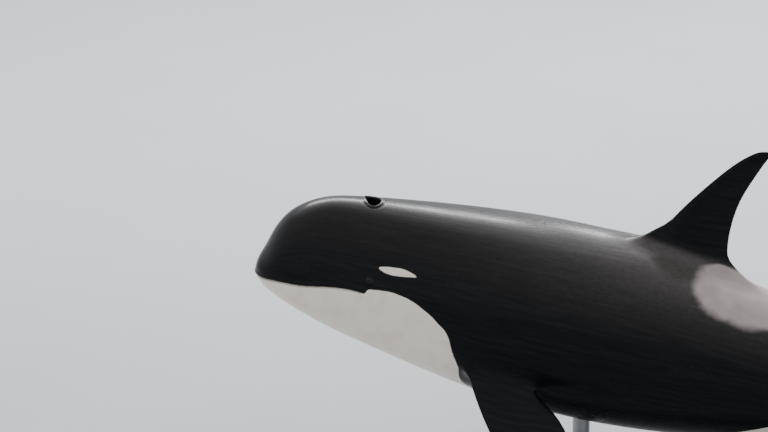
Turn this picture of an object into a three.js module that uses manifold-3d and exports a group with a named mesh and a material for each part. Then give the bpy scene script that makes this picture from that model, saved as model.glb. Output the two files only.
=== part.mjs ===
import * as THREE from 'three';
import { LoftGeometry } from 'three/addons/geometries/LoftGeometry.js';
import { mergeVertices } from 'three/addons/utils/BufferGeometryUtils.js';
import Module from 'manifold-3d';

// A life-size orca of the round-headed southern form, surfacing with its back arched, on a display stand.
// It faces -X with its left side towards -Y. Lengths are millimetres, angles degrees, and a share is a
// fraction of the body's length.
const LENGTH = 6200; // snout to the notch of the flukes, along the spine
const GAP = 0.3; // clearance between pieces that meet
const BODY_RINGS = 46;
const BODY_SIDES = 32;
const FIRST_RING = 0.008; // where the rings begin, before they are spread towards the tail
const RING_CROWDING = 1.6; // above 1 sets the rings closer at the snout
const NUDGE = 1e-4; // a small angle or share, for measuring a direction on the skin

// Body: station share, then the top line, the belly line and the half width there, all as shares.
const STATIONS = [
  [0.000, 0.0000, 0.0000, 0.0000],
  [0.004, 0.0156, -0.0088, 0.0151],
  [0.009, 0.0265, -0.0141, 0.0229],
  [0.016, 0.0428, -0.0195, 0.0305],
  [0.026, 0.0585, -0.0254, 0.0384],
  [0.043, 0.0726, -0.0339, 0.0479],
  [0.070, 0.0827, -0.0456, 0.0585],
  [0.100, 0.0850, -0.0565, 0.0675],
  [0.150, 0.0862, -0.0720, 0.0790],
  [0.220, 0.0892, -0.0890, 0.0910],
  [0.300, 0.0925, -0.0994, 0.0986],
  [0.380, 0.0920, -0.1003, 0.0980],
  [0.480, 0.0830, -0.0885, 0.0853],
  [0.600, 0.0650, -0.0657, 0.0602],
  [0.720, 0.0475, -0.0462, 0.0374],
  [0.840, 0.0335, -0.0316, 0.0200],
  [0.920, 0.0205, -0.0188, 0.0150],
  [0.965, 0.0078, -0.0072, 0.0150],
  [1.000, 0.0016, -0.0016, 0.0050],
];
// The widest point of a section sits this share below its middle.
const SAG_BEGINS = 0.01; // ahead of here it fades out
const SAG = [[0, 0], [0.03, 0.008], [0.08, 0.012], [0.15, 0.006], [0.25, 0], [0.5, -0.002], [1, 0]];
// Second and third harmonic of a section's width: narrow above, then a boxy trunk and a keeled tail stock.
const PEAR = [[0, 0], [0.03, -0.05], [0.08, -0.06], [0.15, -0.03], [0.3, 0], [1, 0]];
const BOX = [
  [0, 0], [0.05, 0.02], [0.15, 0.03], [0.35, 0.03], [0.6, -0.01], [0.75, -0.04], [0.9, -0.05], [1, 0],
];
// Nose-up slope of the spine, in degrees: the arch of the back, and the tail stock levelling out.
const SPINE = [
  [0, 5], [0.08, 5.8], [0.17, 9.5], [0.30, 13.2], [0.43, 16.5], [0.52, 16.5],
  [0.62, 13], [0.72, 7.5], [0.82, 2], [0.92, -2], [1, -4],
];
const SPINE_STEPS = 1000;
// The back swells a little where the fin grows out of it. Its length is a share, its width radians of girth.
const SWELLING = { height: 30, station: 0.384, length: 0.030, width: 0.50 };

// Fins: each stands at a station and girth angle (0 at the back's ridge, 180 under the belly). Its outline
// gives the share of the span, then the leading and the trailing edge in millimetres behind the station.
const DORSAL = {
  station: 0.430, girth: 0, span: 840, droop: 0, thickness: 0.15, curl: 0,
  root: 135, flare: { front: 60, rear: 270, side: 60 }, part: 85, rings: 10,
  outline: [
    [0, -365, 215], [0.107, -338, 202], [0.168, -292, 192], [0.246, -229, 177], [0.331, -189, 168],
    [0.508, -111, 165], [0.671, -30, 186], [0.823, 55, 220], [0.889, 100, 236], [0.945, 147, 252],
    [0.98, 188, 263], [1, 268, 268],
  ],
};
const FLIPPER = {
  station: 0.257, girth: 123, span: 715, droop: 42, thickness: 0.115, curl: -60,
  root: 110, flare: { front: 50, rear: 90, side: 45 }, part: 75, rings: 10,
  outline: [
    [0, -172, 190], [0.125, -132, 318], [0.26, -85, 430], [0.46, -4, 532], [0.66, 101, 592],
    [0.83, 233, 612], [0.95, 377, 582], [1, 505, 505],
  ],
};
const FLUKE = {
  station: 0.945, girth: 90, span: 750, droop: 0, thickness: 0.105, curl: 50,
  root: 65, flare: { front: 60, rear: 8, side: 36 }, part: 48, rings: 10,
  outline: [
    [0, -300, 322], [0.06, -250, 372], [0.15, -186, 396], [0.3, -76, 397], [0.5, 60, 389], [0.7, 186, 398],
    [0.87, 296, 425], [0.96, 362, 446], [1, 436, 436],
  ],
};
const FIN_SIDES = 16;
const FILLET_ROWS = 4;
const FILLET_PULL = 0.45; // how far the fillet's curve is drawn into the corner
const FOOT_DEPTH = 30; // how deep a fin's first ring lies inside the body
const FULLNESS = { front: 1.3, taper: 0.75 }; // a fin's section is thickest ahead of the middle
const TIP_SPREAD = 0.985; // where a blade's last ring lies

// Where the trunk is parted, as shares.
const NECK = 0.178;
const WAIST = 0.335;
const TAIL_ROOT = 0.63;

// Mouth line: share along, share above the spine line, from the lip to the corner of the gape. From there
// the jaw's rear edge runs down to the throat.
const MOUTH = [
  [-0.02, -0.0060], [0.004, -0.0040], [0.0152, -0.0013], [0.0433, 0.0024], [0.0731, 0.0075],
  [0.0885, 0.0091], [0.1085, 0.0078],
];
const JAW_REAR = [[0.120, -0.020], [0.138, -0.110]];
const JAW_BELOW = -0.13;
const JAW_REGION_WIDTH = 0.3; // wider than the head

const EYE = { station: 0.1153, girth: 74, radius: 30, proud: 8, sides: 12, rows: 8 };
const BLOWHOLE = { station: 0.1112, width: 150, length: 72, depth: 60, sides: 16, rows: 8 };

const STAND = {
  clearance: 380, // floor to the lowest point of the belly
  length: 2700, width: 1150, thickness: 45, corner: 160, bevel: 8, centre: 0.435,
  rod: 55, foot: 130, footHeight: 22, fillet: 40, filletMiddle: 12, sides: 24,
  stations: { front: 0.368, rear: 0.565 },
};

const COLOURS = {
  back: { color: 0x17181b, roughness: 0.32, metalness: 0 },
  fin: { color: 0x0e0d10, roughness: 0.35, metalness: 0 },
  throat: { color: 0xcfc8bc, roughness: 0.38, metalness: 0 },
  eye: { color: 0x120c09, roughness: 0.1, metalness: 0 },
  steel: { color: 0x5b5f63, roughness: 0.45, metalness: 0.7 },
};

const { cos, sin, sqrt, PI } = Math;
const radians = THREE.MathUtils.degToRad;

// Natural cubic spline through pairs of place and value.
function splineThrough(pairs) {
  const n = pairs.length;
  const step = (i) => pairs[i + 1][0] - pairs[i][0];
  const slope = (i) => (pairs[i + 1][1] - pairs[i][1]) / step(i);
  const ratio = [0];
  const carried = [0];
  for (let i = 1; i < n - 1; i++) {
    const pivot = 2 * (step(i - 1) + step(i)) - step(i - 1) * ratio[i - 1];
    ratio[i] = step(i) / pivot;
    carried[i] = (6 * (slope(i) - slope(i - 1)) - step(i - 1) * carried[i - 1]) / pivot;
  }
  const bend = new Array(n).fill(0);
  for (let i = n - 2; i > 0; i--) bend[i] = carried[i] - ratio[i] * bend[i + 1];
  return (place) => {
    let i = 0;
    while (i < n - 2 && place > pairs[i + 1][0]) i++;
    const h = step(i);
    const d = place - pairs[i][0];
    const start = slope(i) - (h * (2 * bend[i] + bend[i + 1])) / 6;
    return pairs[i][1] + d * (start + d * (bend[i] / 2 + (d * (bend[i + 1] - bend[i])) / (6 * h)));
  };
}

// Spline over the square root of the station, which rounds the snout.
function alongBody(pairs) {
  const curve = splineThrough(pairs.map(([share, value]) => [sqrt(share), value]));
  return (share) => curve(sqrt(Math.max(share, 0)));
}

const top = alongBody(STATIONS.map(([share, value]) => [share, value]));
const bottom = alongBody(STATIONS.map(([share, , value]) => [share, value]));
const halfWidth = alongBody(STATIONS.map(([share, , , value]) => [share, value]));
const sag = alongBody(SAG);
const pear = alongBody(PEAR);
const box = alongBody(BOX);
const spineSlope = splineThrough(SPINE);

// The spine's course, summed in small steps from the snout.
const spine = [new THREE.Vector2(0, 0)];
for (let i = 0; i < SPINE_STEPS; i++) {
  const slope = radians(spineSlope((i + 0.5) / SPINE_STEPS));
  const last = spine[i];
  const step = LENGTH / SPINE_STEPS;
  spine.push(new THREE.Vector2(last.x + step * cos(slope), last.y - step * sin(slope)));
}

function spineAt(share) {
  const place = THREE.MathUtils.clamp(share, 0, 1) * SPINE_STEPS;
  const i = Math.min(Math.floor(place), SPINE_STEPS - 1);
  const point = spine[i].clone().lerp(spine[i + 1], place - i);
  point.x += Math.min(share, 0) * LENGTH;
  return point;
}

// A point given by its station, its distance to the animal's left and its height over the spine.
function posed(share, left, height) {
  const slope = radians(spineSlope(THREE.MathUtils.clamp(share, 0, 1)));
  const at = spineAt(share);
  return new THREE.Vector3(at.x + height * sin(slope), -left, at.y + height * cos(slope));
}

// A point of the skin. The girth angle is measured from the ridge of the back to the left, in radians.
function onSkin(share, girth) {
  const middle = (top(share) + bottom(share)) / 2;
  const halfHeight = (top(share) - bottom(share)) / 2;
  const low = sag(share) * sin(girth) ** 2 * Math.min(1, share / SAG_BEGINS);
  const shape = sin(girth) + pear(share) * sin(2 * girth) + box(share) * sin(3 * girth);
  const left = (halfWidth(share) * shape) / (1 - box(share));
  const height = middle + halfHeight * cos(girth) - low;
  return posed(share, left * LENGTH, height * LENGTH + swelling(share, girth));
}

function swelling(share, girth) {
  const along = (share - SWELLING.station) / SWELLING.length;
  return SWELLING.height * Math.exp(-(along ** 2) - (girth / SWELLING.width) ** 2);
}

// The pear term belongs to each flank alone, so the right flank mirrors the left.
function bodyPoint(share, girth) {
  if (girth <= PI) return onSkin(share, girth);
  const mirrored = onSkin(share, 2 * PI - girth);
  mirrored.y *= -1;
  return mirrored;
}

function bodySections() {
  const sections = [];
  for (let i = 0; i < BODY_RINGS; i++) {
    const spread = FIRST_RING + ((1 - FIRST_RING) * i) / (BODY_RINGS - 1);
    const share = spread ** RING_CROWDING;
    const ring = [];
    for (let j = 0; j < BODY_SIDES; j++) ring.push(bodyPoint(share, (2 * PI * j) / BODY_SIDES));
    sections.push(ring);
  }
  return sections;
}

// The axes of a fin at its root: rearwards, outwards and across its thickness. Side is 1 on the left.
function finFrame(fin, side) {
  const slope = radians(spineSlope(fin.station));
  const rearward = new THREE.Vector3(cos(slope), 0, -sin(slope));
  const upward = new THREE.Vector3(sin(slope), 0, cos(slope));
  const outward = upward.clone();
  if (fin.girth > 0) {
    const droop = radians(fin.droop);
    outward.set(0, -side * cos(droop), 0).addScaledVector(upward, -sin(droop));
  }
  const across = new THREE.Vector3().crossVectors(outward, rearward);
  const root = sided(fin.station, radians(fin.girth), side);
  return { root, rearward, outward, across };
}

function sided(share, girth, side) {
  const point = bodyPoint(share, girth < 0 ? girth + 2 * PI : girth);
  point.y *= side;
  return point;
}

// One ring of the blade: distances behind the root and half thicknesses, from the leading edge round.
function bladeRing(fin, edges, spread) {
  const leading = edges.leading(spread);
  const chord = edges.trailing(spread) - leading;
  const ring = [];
  for (let j = 0; j < FIN_SIDES; j++) {
    const turn = (-2 * PI * j) / FIN_SIDES;
    const along = (1 - cos(turn)) / 2;
    const half = 0.5 * fin.thickness * chord * sin(turn) * (FULLNESS.front - FULLNESS.taper * along);
    ring.push({ turn, behind: leading + chord * along, half });
  }
  return ring;
}

// The outline is splined over a spread that slows towards the tip, which rounds it.
function finEdges(fin) {
  const edge = (column) => splineThrough(fin.outline.map((row) => [1 - sqrt(1 - row[0]), row[column]]));
  return { leading: edge(1), trailing: edge(2) };
}

function finSections(fin, side) {
  const frame = finFrame(fin, side);
  const edges = finEdges(fin);
  const girth = radians(fin.girth);
  const above = sided(fin.station, girth - NUDGE, side);
  const aroundGirth = sided(fin.station, girth + NUDGE, side).sub(above);
  const perRadian = aroundGirth.length() / (2 * NUDGE);
  const turnSign = Math.sign(aroundGirth.dot(frame.across));
  const inward = frame.outward.clone().negate();

  const onBody = ({ turn, behind, half }, flared) => {
    const reach = cos(turn) > 0 ? fin.flare.front : fin.flare.rear;
    const shift = flared ? -reach * cos(turn) : 0;
    const widen = flared ? fin.flare.side * sin(turn) : 0;
    const share = fin.station + (behind + shift) / LENGTH;
    return sided(Math.min(share, 1), girth + (turnSign * (half + widen)) / perRadian, side);
  };
  const onBlade = ({ behind, half }, spread) => {
    const height = fin.span * (1 - (1 - spread) ** 2);
    const curl = fin.curl * (height / fin.span) ** 2;
    return frame.root.clone()
      .addScaledVector(frame.rearward, behind)
      .addScaledVector(frame.outward, height)
      .addScaledVector(frame.across, half)
      .add(new THREE.Vector3(0, 0, curl));
  };

  const rootSpread = 1 - sqrt(1 - fin.root / fin.span);
  const foot = bladeRing(fin, edges, 0);
  const wall = bladeRing(fin, edges, rootSpread);
  const sections = [foot.map((p) => onBody(p, true).addScaledVector(inward, FOOT_DEPTH))];
  for (let row = 0; row < FILLET_ROWS; row++) {
    const t = row / FILLET_ROWS;
    sections.push(foot.map((p, j) => {
      const corner = onBody(p, false);
      const edge = onBody(p, true);
      const up = onBlade(wall[j], rootSpread);
      const pulled = (end) => end.clone().lerp(corner, FILLET_PULL);
      return new THREE.CubicBezierCurve3(edge, pulled(edge), pulled(up), up).getPoint(t);
    }));
  }
  for (let row = 0; row < fin.rings; row++) {
    const spread = rootSpread + ((TIP_SPREAD - rootSpread) * row) / (fin.rings - 1);
    sections.push(bladeRing(fin, edges, spread).map((p) => onBlade(p, spread)));
  }
  return sections;
}

const wasm = await Module();
wasm.setup();

// A closed geometry as a solid: vertices that meet are merged and faces that vanish are dropped.
function solidOf(geometry) {
  const bare = new THREE.BufferGeometry();
  bare.setAttribute('position', geometry.getAttribute('position'));
  bare.setIndex(geometry.index ?? [...Array(bare.attributes.position.count).keys()]);
  const merged = mergeVertices(bare, 1e-3);
  const faces = [];
  for (let i = 0; i < merged.index.count; i += 3) {
    const [a, b, c] = [0, 1, 2].map((k) => merged.index.getX(i + k));
    if (a !== b && b !== c && c !== a) faces.push(a, b, c);
  }
  return new wasm.Manifold(new wasm.Mesh({
    numProp: 3,
    vertProperties: Float32Array.from(merged.attributes.position.array),
    triVerts: Uint32Array.from(faces),
  }));
}

function geometryOf(solid) {
  const mesh = solid.getMesh();
  const geometry = new THREE.BufferGeometry();
  geometry.setAttribute('position', new THREE.BufferAttribute(mesh.vertProperties, 3));
  geometry.setIndex(new THREE.BufferAttribute(mesh.triVerts, 1));
  geometry.computeVertexNormals();
  return geometry;
}

const loft = (sections) => solidOf(new LoftGeometry(sections, { capStart: true, capEnd: true }));

// A large box between two distances along an axis from a point, used to part a solid.
function slab(point, axis, from, to) {
  const reach = LENGTH * 2;
  const geometry = new THREE.BoxGeometry(to - from, reach, reach);
  geometry.translate((from + to) / 2, 0, 0);
  geometry.applyQuaternion(new THREE.Quaternion().setFromUnitVectors(new THREE.Vector3(1, 0, 0), axis));
  geometry.translate(point.x, point.y, point.z);
  return solidOf(geometry);
}

// The length of body between two stations, cut square to the spine with half a gap at each end.
function between(solid, from, to) {
  let piece = solid;
  for (const [share, way] of [[from, 1], [to, -1]]) {
    if (share === null) continue;
    const slope = radians(spineSlope(share));
    const axis = new THREE.Vector3(way * cos(slope), 0, -way * sin(slope));
    piece = piece.intersect(slab(posed(share, 0, 0), axis, GAP / 2, LENGTH * 2));
  }
  return piece;
}

// A fin's blade and the stub that stays on the body, parted square to its span.
function partFin(fin, side) {
  const { root, outward } = finFrame(fin, side);
  const whole = loft(finSections(fin, side));
  return {
    blade: whole.intersect(slab(root, outward, fin.part + GAP / 2, LENGTH)),
    stub: whole.intersect(slab(root, outward, -LENGTH, fin.part - GAP / 2)),
  };
}

// Everything below the mouth line and ahead of the jaw's rear edge, shrunk or grown by half a gap.
function jawRegion(grow) {
  const line = MOUTH.map(([share, height]) => posed(share, 0, height * LENGTH + grow));
  const rear = JAW_REAR.map(([share, height]) => posed(share + grow / LENGTH, 0, height * LENGTH));
  const below = posed(MOUTH[0][0], 0, JAW_BELOW * LENGTH);
  const outline = [...line, ...rear, below].map((point) => new THREE.Vector2(point.x, point.z));
  const width = LENGTH * JAW_REGION_WIDTH;
  const geometry = new THREE.ExtrudeGeometry(new THREE.Shape(outline), { depth: width, bevelEnabled: false });
  geometry.translate(0, 0, -width / 2);
  geometry.rotateX(PI / 2);
  return solidOf(geometry);
}

function ball(centre, radius) {
  const geometry = new THREE.SphereGeometry(radius, EYE.sides, EYE.rows);
  geometry.translate(centre.x, centre.y, centre.z);
  return solidOf(geometry);
}

function eyeCentre(side) {
  const girth = radians(EYE.girth);
  const skin = sided(EYE.station, girth, side);
  const along = sided(EYE.station + NUDGE, girth, side).sub(skin);
  const around = sided(EYE.station, girth + NUDGE, side).sub(skin);
  const outward = new THREE.Vector3().crossVectors(around, along).normalize();
  if (outward.y * side > 0) outward.negate();
  return skin.addScaledVector(outward, EYE.proud - EYE.radius);
}

function blowholePit() {
  const geometry = new THREE.SphereGeometry(1, BLOWHOLE.sides, BLOWHOLE.rows);
  geometry.scale(BLOWHOLE.length / 2, BLOWHOLE.width / 2, BLOWHOLE.depth);
  geometry.rotateY(radians(spineSlope(BLOWHOLE.station)));
  const mouth = bodyPoint(BLOWHOLE.station, 0);
  geometry.translate(mouth.x, mouth.y, mouth.z);
  return solidOf(geometry);
}

const bladeLeft = partFin(FLIPPER, 1);
const bladeRight = partFin(FLIPPER, -1);
const flukeLeft = partFin(FLUKE, 1);
const flukeRight = partFin(FLUKE, -1);
const dorsal = partFin(DORSAL, 1);

let body = loft(bodySections());
for (const fin of [bladeLeft, bladeRight, flukeLeft, flukeRight, dorsal]) body = body.add(fin.stub);
body = body.subtract(blowholePit());
const lowest = body.boundingBox().min[2];
const floor = lowest - STAND.clearance;

const eyes = { left: eyeCentre(1), right: eyeCentre(-1) };
let head = between(body, null, NECK);
for (const centre of [eyes.left, eyes.right]) head = head.subtract(ball(centre, EYE.radius + GAP));
const lowerJaw = head.intersect(jawRegion(-GAP / 2));
const upperHead = head.subtract(jawRegion(GAP / 2));

// The base plate: a rounded rectangle with a small bevel round its upper and lower edge.
function standBase() {
  const { length, width, corner, bevel, thickness } = STAND;
  const x = length / 2 - corner - bevel;
  const y = width / 2 - corner - bevel;
  const plate = new THREE.Shape();
  plate.absarc(x, y, corner, 0, PI / 2);
  plate.absarc(-x, y, corner, PI / 2, PI);
  plate.absarc(-x, -y, corner, PI, 1.5 * PI);
  plate.absarc(x, -y, corner, 1.5 * PI, 2 * PI);
  const geometry = new THREE.ExtrudeGeometry(plate, {
    depth: thickness - 2 * bevel, bevelThickness: bevel, bevelSize: bevel, bevelSegments: 1, curveSegments: 6,
  });
  geometry.translate(spineAt(STAND.centre).x, 0, floor + bevel);
  return geometry;
}

// A rod with a round foot, cut to the belly that it carries. It stands on the base plate.
function standRod(station) {
  const { rod, foot, footHeight, fillet, filletMiddle, thickness, sides } = STAND;
  const bellyTop = bodyPoint(station, 0);
  const foundation = floor + thickness + GAP;
  const height = bellyTop.z - foundation - rod;
  const profile = [
    [0, 0], [foot, 0], [foot, footHeight], [rod + fillet, footHeight],
    [rod + filletMiddle, footHeight + filletMiddle], [rod, footHeight + fillet], [rod, height], [0, height],
  ].map(([radius, level]) => new THREE.Vector2(radius, level));
  const geometry = new THREE.LatheGeometry(profile, sides);
  geometry.rotateX(PI / 2);
  geometry.translate(bodyPoint(station, PI).x, 0, foundation);
  return solidOf(geometry).subtract(body.translate([0, 0, -GAP]));
}

const pieces = {
  head: [upperHead, 'back'],
  lower_jaw: [lowerJaw, 'throat'],
  trunk_front: [between(body, NECK, WAIST), 'back'],
  trunk_rear: [between(body, WAIST, TAIL_ROOT), 'back'],
  tail_stock: [between(body, TAIL_ROOT, null), 'back'],
  dorsal_fin: [dorsal.blade, 'fin'],
  flipper_left: [bladeLeft.blade, 'fin'],
  flipper_right: [bladeRight.blade, 'fin'],
  fluke_left: [flukeLeft.blade, 'fin'],
  fluke_right: [flukeRight.blade, 'fin'],
  eye_left: [ball(eyes.left, EYE.radius), 'eye'],
  eye_right: [ball(eyes.right, EYE.radius), 'eye'],
  stand_rod_front: [standRod(STAND.stations.front), 'steel'],
  stand_rod_rear: [standRod(STAND.stations.rear), 'steel'],
};

function mesh(name, geometry, finish) {
  const made = new THREE.Mesh(geometry, new THREE.MeshStandardMaterial(COLOURS[finish]));
  made.name = name;
  return made;
}

const orca = new THREE.Group();
orca.add(mesh('stand_base', standBase(), 'steel'));
for (const [name, [solid, finish]] of Object.entries(pieces)) orca.add(mesh(name, geometryOf(solid), finish));

// The origin is the middle of the whole, at the underside of the base plate.
const extent = new THREE.Box3().setFromObject(orca);
orca.position.set(-(extent.min.x + extent.max.x) / 2, 0, -extent.min.z);

export default orca;
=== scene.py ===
# %% [markdown]
# # A life-size orca, held over a base by two rods
#
# A swimming orca has no hair and hardly a wrinkle: all that the eye reads is the form, the border
# between black and cream, the wet sheen, and a few folds at the mouth, the eyes and the blowhole.
# So nearly everything here goes into one skin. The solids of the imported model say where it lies.

# %% Load the frame
import math

import bmesh
import bpy
import numpy as np
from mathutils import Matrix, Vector
from mathutils.bvhtree import BVHTree
from mathutils.geometry import delaunay_2d_cdt
from mathutils.kdtree import KDTree


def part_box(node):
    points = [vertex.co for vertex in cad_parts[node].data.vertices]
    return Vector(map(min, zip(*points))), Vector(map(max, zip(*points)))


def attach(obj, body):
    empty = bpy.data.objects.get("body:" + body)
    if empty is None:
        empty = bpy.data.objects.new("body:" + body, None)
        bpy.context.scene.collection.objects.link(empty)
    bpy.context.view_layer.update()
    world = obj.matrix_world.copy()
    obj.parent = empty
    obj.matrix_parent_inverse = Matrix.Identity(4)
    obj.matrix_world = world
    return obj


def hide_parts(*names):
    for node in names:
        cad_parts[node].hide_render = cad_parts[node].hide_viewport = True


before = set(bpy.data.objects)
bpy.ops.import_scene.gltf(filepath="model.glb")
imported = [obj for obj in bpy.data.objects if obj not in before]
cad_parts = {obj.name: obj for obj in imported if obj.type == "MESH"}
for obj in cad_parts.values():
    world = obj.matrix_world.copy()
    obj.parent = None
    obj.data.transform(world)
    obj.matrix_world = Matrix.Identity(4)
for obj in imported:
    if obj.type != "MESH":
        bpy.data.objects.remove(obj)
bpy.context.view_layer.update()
print("nodes:", ", ".join(sorted(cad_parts)))

# %% [markdown]
# ## The body's form
#
# An orca's body is a spindle: at each station along it the section is a rounded shape with a top line,
# a belly line and a half width. It could be sculpted by hand, but numbers are easier to keep true from
# every side. The same driving numbers as the solids' are used here, in metres, with smooth splines
# through them. A share is a fraction of the body's length. A girth angle runs round the section, from
# 0 on the ridge of the back to 180 degrees under the belly, positive on the animal's left. Just ahead
# of the fin the back swells a little, and the fin grows out of that swelling.

# %% Driving dimensions of the body
LENGTH = 6.2  # metres, snout to the notch of the flukes, along the spine
STATIONS = [  # share, then the top line, the belly line and the half width there, as shares
    (0.000, 0.0000, 0.0000, 0.0000), (0.004, 0.0156, -0.0088, 0.0151), (0.009, 0.0265, -0.0141, 0.0229),
    (0.016, 0.0428, -0.0195, 0.0305), (0.026, 0.0585, -0.0254, 0.0384), (0.043, 0.0726, -0.0339, 0.0479),
    (0.070, 0.0827, -0.0456, 0.0585), (0.100, 0.0850, -0.0565, 0.0675), (0.150, 0.0862, -0.0720, 0.0790),
    (0.220, 0.0892, -0.0890, 0.0910), (0.300, 0.0925, -0.0994, 0.0986), (0.380, 0.0920, -0.1003, 0.0980),
    (0.480, 0.0830, -0.0885, 0.0853), (0.600, 0.0650, -0.0657, 0.0602), (0.720, 0.0475, -0.0462, 0.0374),
    (0.840, 0.0335, -0.0316, 0.0200), (0.920, 0.0205, -0.0188, 0.0150), (0.965, 0.0078, -0.0072, 0.0150),
    (1.000, 0.0016, -0.0016, 0.0050),
]
SAG_BEGINS = 0.01  # ahead of this share the sag fades out
# How far the widest point lies below the section's middle, then what narrows its upper half, and what
# makes it boxy at the trunk and keeled at the tail: each as pairs of share and value.
SAG = [(0, 0), (0.03, 0.008), (0.08, 0.012), (0.15, 0.006), (0.25, 0), (0.5, -0.002), (1, 0)]
PEAR = [(0, 0), (0.03, -0.05), (0.08, -0.06), (0.15, -0.03), (0.3, 0), (1, 0)]
BOX = [(0, 0), (0.05, 0.02), (0.15, 0.03), (0.35, 0.03), (0.6, -0.01), (0.75, -0.04), (0.9, -0.05), (1, 0)]
SPINE = [  # nose-up slope in degrees
    (0, 5), (0.08, 5.8), (0.17, 9.5), (0.30, 13.2), (0.43, 16.5), (0.52, 16.5),
    (0.62, 13), (0.72, 7.5), (0.82, 2), (0.92, -2), (1, -4),
]
SPINE_STEPS = 1000
NUDGE, NUDGE_TURN = 1e-4, 1e-3  # a small share and a small girth, for measuring directions on the skin
TINY = 1e-7  # keeps a division or a comparison clear of zero
SWELLING, SWELLING_AT = 0.030, 0.384  # the back swells ahead of the fin: metres, and the share there
SWELLING_LENGTH, SWELLING_WIDTH = 0.030, 0.50  # share and radians over which it fades


def spline_through(pairs):
    """Natural cubic spline through pairs of place and value."""
    x, y = np.array(pairs, float).T
    step = np.diff(x)
    slope = np.diff(y) / step
    matrix, right = np.eye(len(x)), np.zeros(len(x))
    for i in range(1, len(x) - 1):
        matrix[i, i - 1:i + 2] = step[i - 1], 2 * (step[i - 1] + step[i]), step[i]
        right[i] = 6 * (slope[i] - slope[i - 1])
    bend = np.linalg.solve(matrix, right)

    def curve(place):
        i = np.clip(np.searchsorted(x, place) - 1, 0, len(x) - 2)
        d = place - x[i]
        start = slope[i] - step[i] * (2 * bend[i] + bend[i + 1]) / 6
        return y[i] + d * (start + d * (bend[i] / 2 + d * (bend[i + 1] - bend[i]) / (6 * step[i])))

    return curve


def along_body(pairs):
    """Spline over the square root of the station, which rounds the snout."""
    curve = spline_through([(math.sqrt(share), value) for share, value in pairs])
    return lambda share: curve(np.sqrt(np.maximum(share, 0)))


top, bottom, half_width = (along_body([(row[0], row[i]) for row in STATIONS]) for i in (1, 2, 3))
sag, pear, box = along_body(SAG), along_body(PEAR), along_body(BOX)
spine_slope = spline_through(SPINE)
spine_shares = np.linspace(0, 1, SPINE_STEPS + 1)
middle_slopes = np.radians(spine_slope((spine_shares[1:] + spine_shares[:-1]) / 2))
spine_x = np.concatenate([[0], np.cumsum(np.cos(middle_slopes))]) * LENGTH / SPINE_STEPS
spine_z = -np.concatenate([[0], np.cumsum(np.sin(middle_slopes))]) * LENGTH / SPINE_STEPS


def hump(distance, width):
    """A smooth bump, 1 in the middle."""
    return np.exp(-((distance / width) ** 2))


def height_share(share, girth):
    """Height of a skin point over the spine, as a share."""
    middle = (top(share) + bottom(share)) / 2
    half = (top(share) - bottom(share)) / 2
    low = sag(share) * np.sin(girth) ** 2 * np.minimum(1, share / SAG_BEGINS)
    swelling = SWELLING / LENGTH * hump(share - SWELLING_AT, SWELLING_LENGTH) * hump(girth, SWELLING_WIDTH)
    return middle + half * np.cos(girth) - low + swelling


def bare_skin(share, girth):
    """Points of the skin, with the snout at the origin."""
    shape = np.sin(girth) + pear(share) * np.sin(2 * girth) + box(share) * np.sin(3 * girth)
    left = half_width(share) * shape / (1 - box(share)) * LENGTH
    height = height_share(share, girth) * LENGTH
    slope = np.radians(spine_slope(np.clip(share, 0, 1)))
    x = np.interp(share, spine_shares, spine_x) + height * np.sin(slope)
    z = np.interp(share, spine_shares, spine_z) + height * np.cos(slope)
    return np.stack(np.broadcast_arrays(x, -left, z), axis=-1)


def lean(share, girth):
    """Outward normals of the skin, and the metres of skin for each radian of girth."""
    near = np.minimum(NUDGE, share / 2) + TINY
    along = bare_skin(share + near, girth) - bare_skin(share - near, girth)
    around = bare_skin(share, girth + NUDGE_TURN) - bare_skin(share, girth - NUDGE_TURN)
    normal = np.cross(around, along)
    normal /= np.linalg.norm(normal, axis=-1, keepdims=True)
    return normal, np.linalg.norm(around, axis=-1) / (2 * NUDGE_TURN)


def metres_per_radian(share, girth):
    """Metres of skin for each radian of girth at one point."""
    return float(lean(np.array(share), np.array(girth))[1])


per_radian = lean(np.full(90, 0.3), np.linspace(0, math.pi, 90))[1]
print("girth at share 0.3: %.2f m" % (2 * math.pi * np.mean(per_radian)))

# %% [markdown]
# ## Where the skin lies in the room
#
# The formulas have the snout at the origin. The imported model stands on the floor, so one shift brings
# them together. The left eye is the landmark: its place on the skin is known here by its station and
# girth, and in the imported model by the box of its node.

# %% Shift from the snout to the room
EYE_STATION, EYE_GIRTH, EYE_RADIUS, EYE_PROUD = 0.1153, math.radians(74), 0.030, 0.008


def eye_axis(side):
    """The skin point of an eye, its outward direction and the eyeball's centre. Side is 1 on the left."""
    share, girth = np.array(EYE_STATION), np.array(side * EYE_GIRTH)
    point, normal = bare_skin(share, girth), lean(share, girth)[0]
    return point, normal, point + normal * (EYE_PROUD - EYE_RADIUS)


low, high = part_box("eye_left")
shift = np.array((low + high) / 2) - eye_axis(1)[2]
snout = Vector(shift)
print("snout at", [round(x, 3) for x in snout])

# %% [markdown]
# ## The camera
#
# The photograph looks at the animal's left side from a ship's deck, about 20 degrees down, with a long
# lens. The scale follows from the animal: its 6.2 metres take 157.5 pixels each. Standing far off with
# a long lens keeps the perspective flat, as it is in the photograph.

# %% Camera
FRAME_WIDTH, FRAME_HEIGHT = 768, 432  # pixels of the photograph
PIXELS_PER_METRE = 157.5
SNOUT_PIXEL = (255.3, 267.8)
CAMERA_DISTANCE, CAMERA_ELEVATION, SENSOR = 35.0, math.radians(20), 36.0

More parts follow.
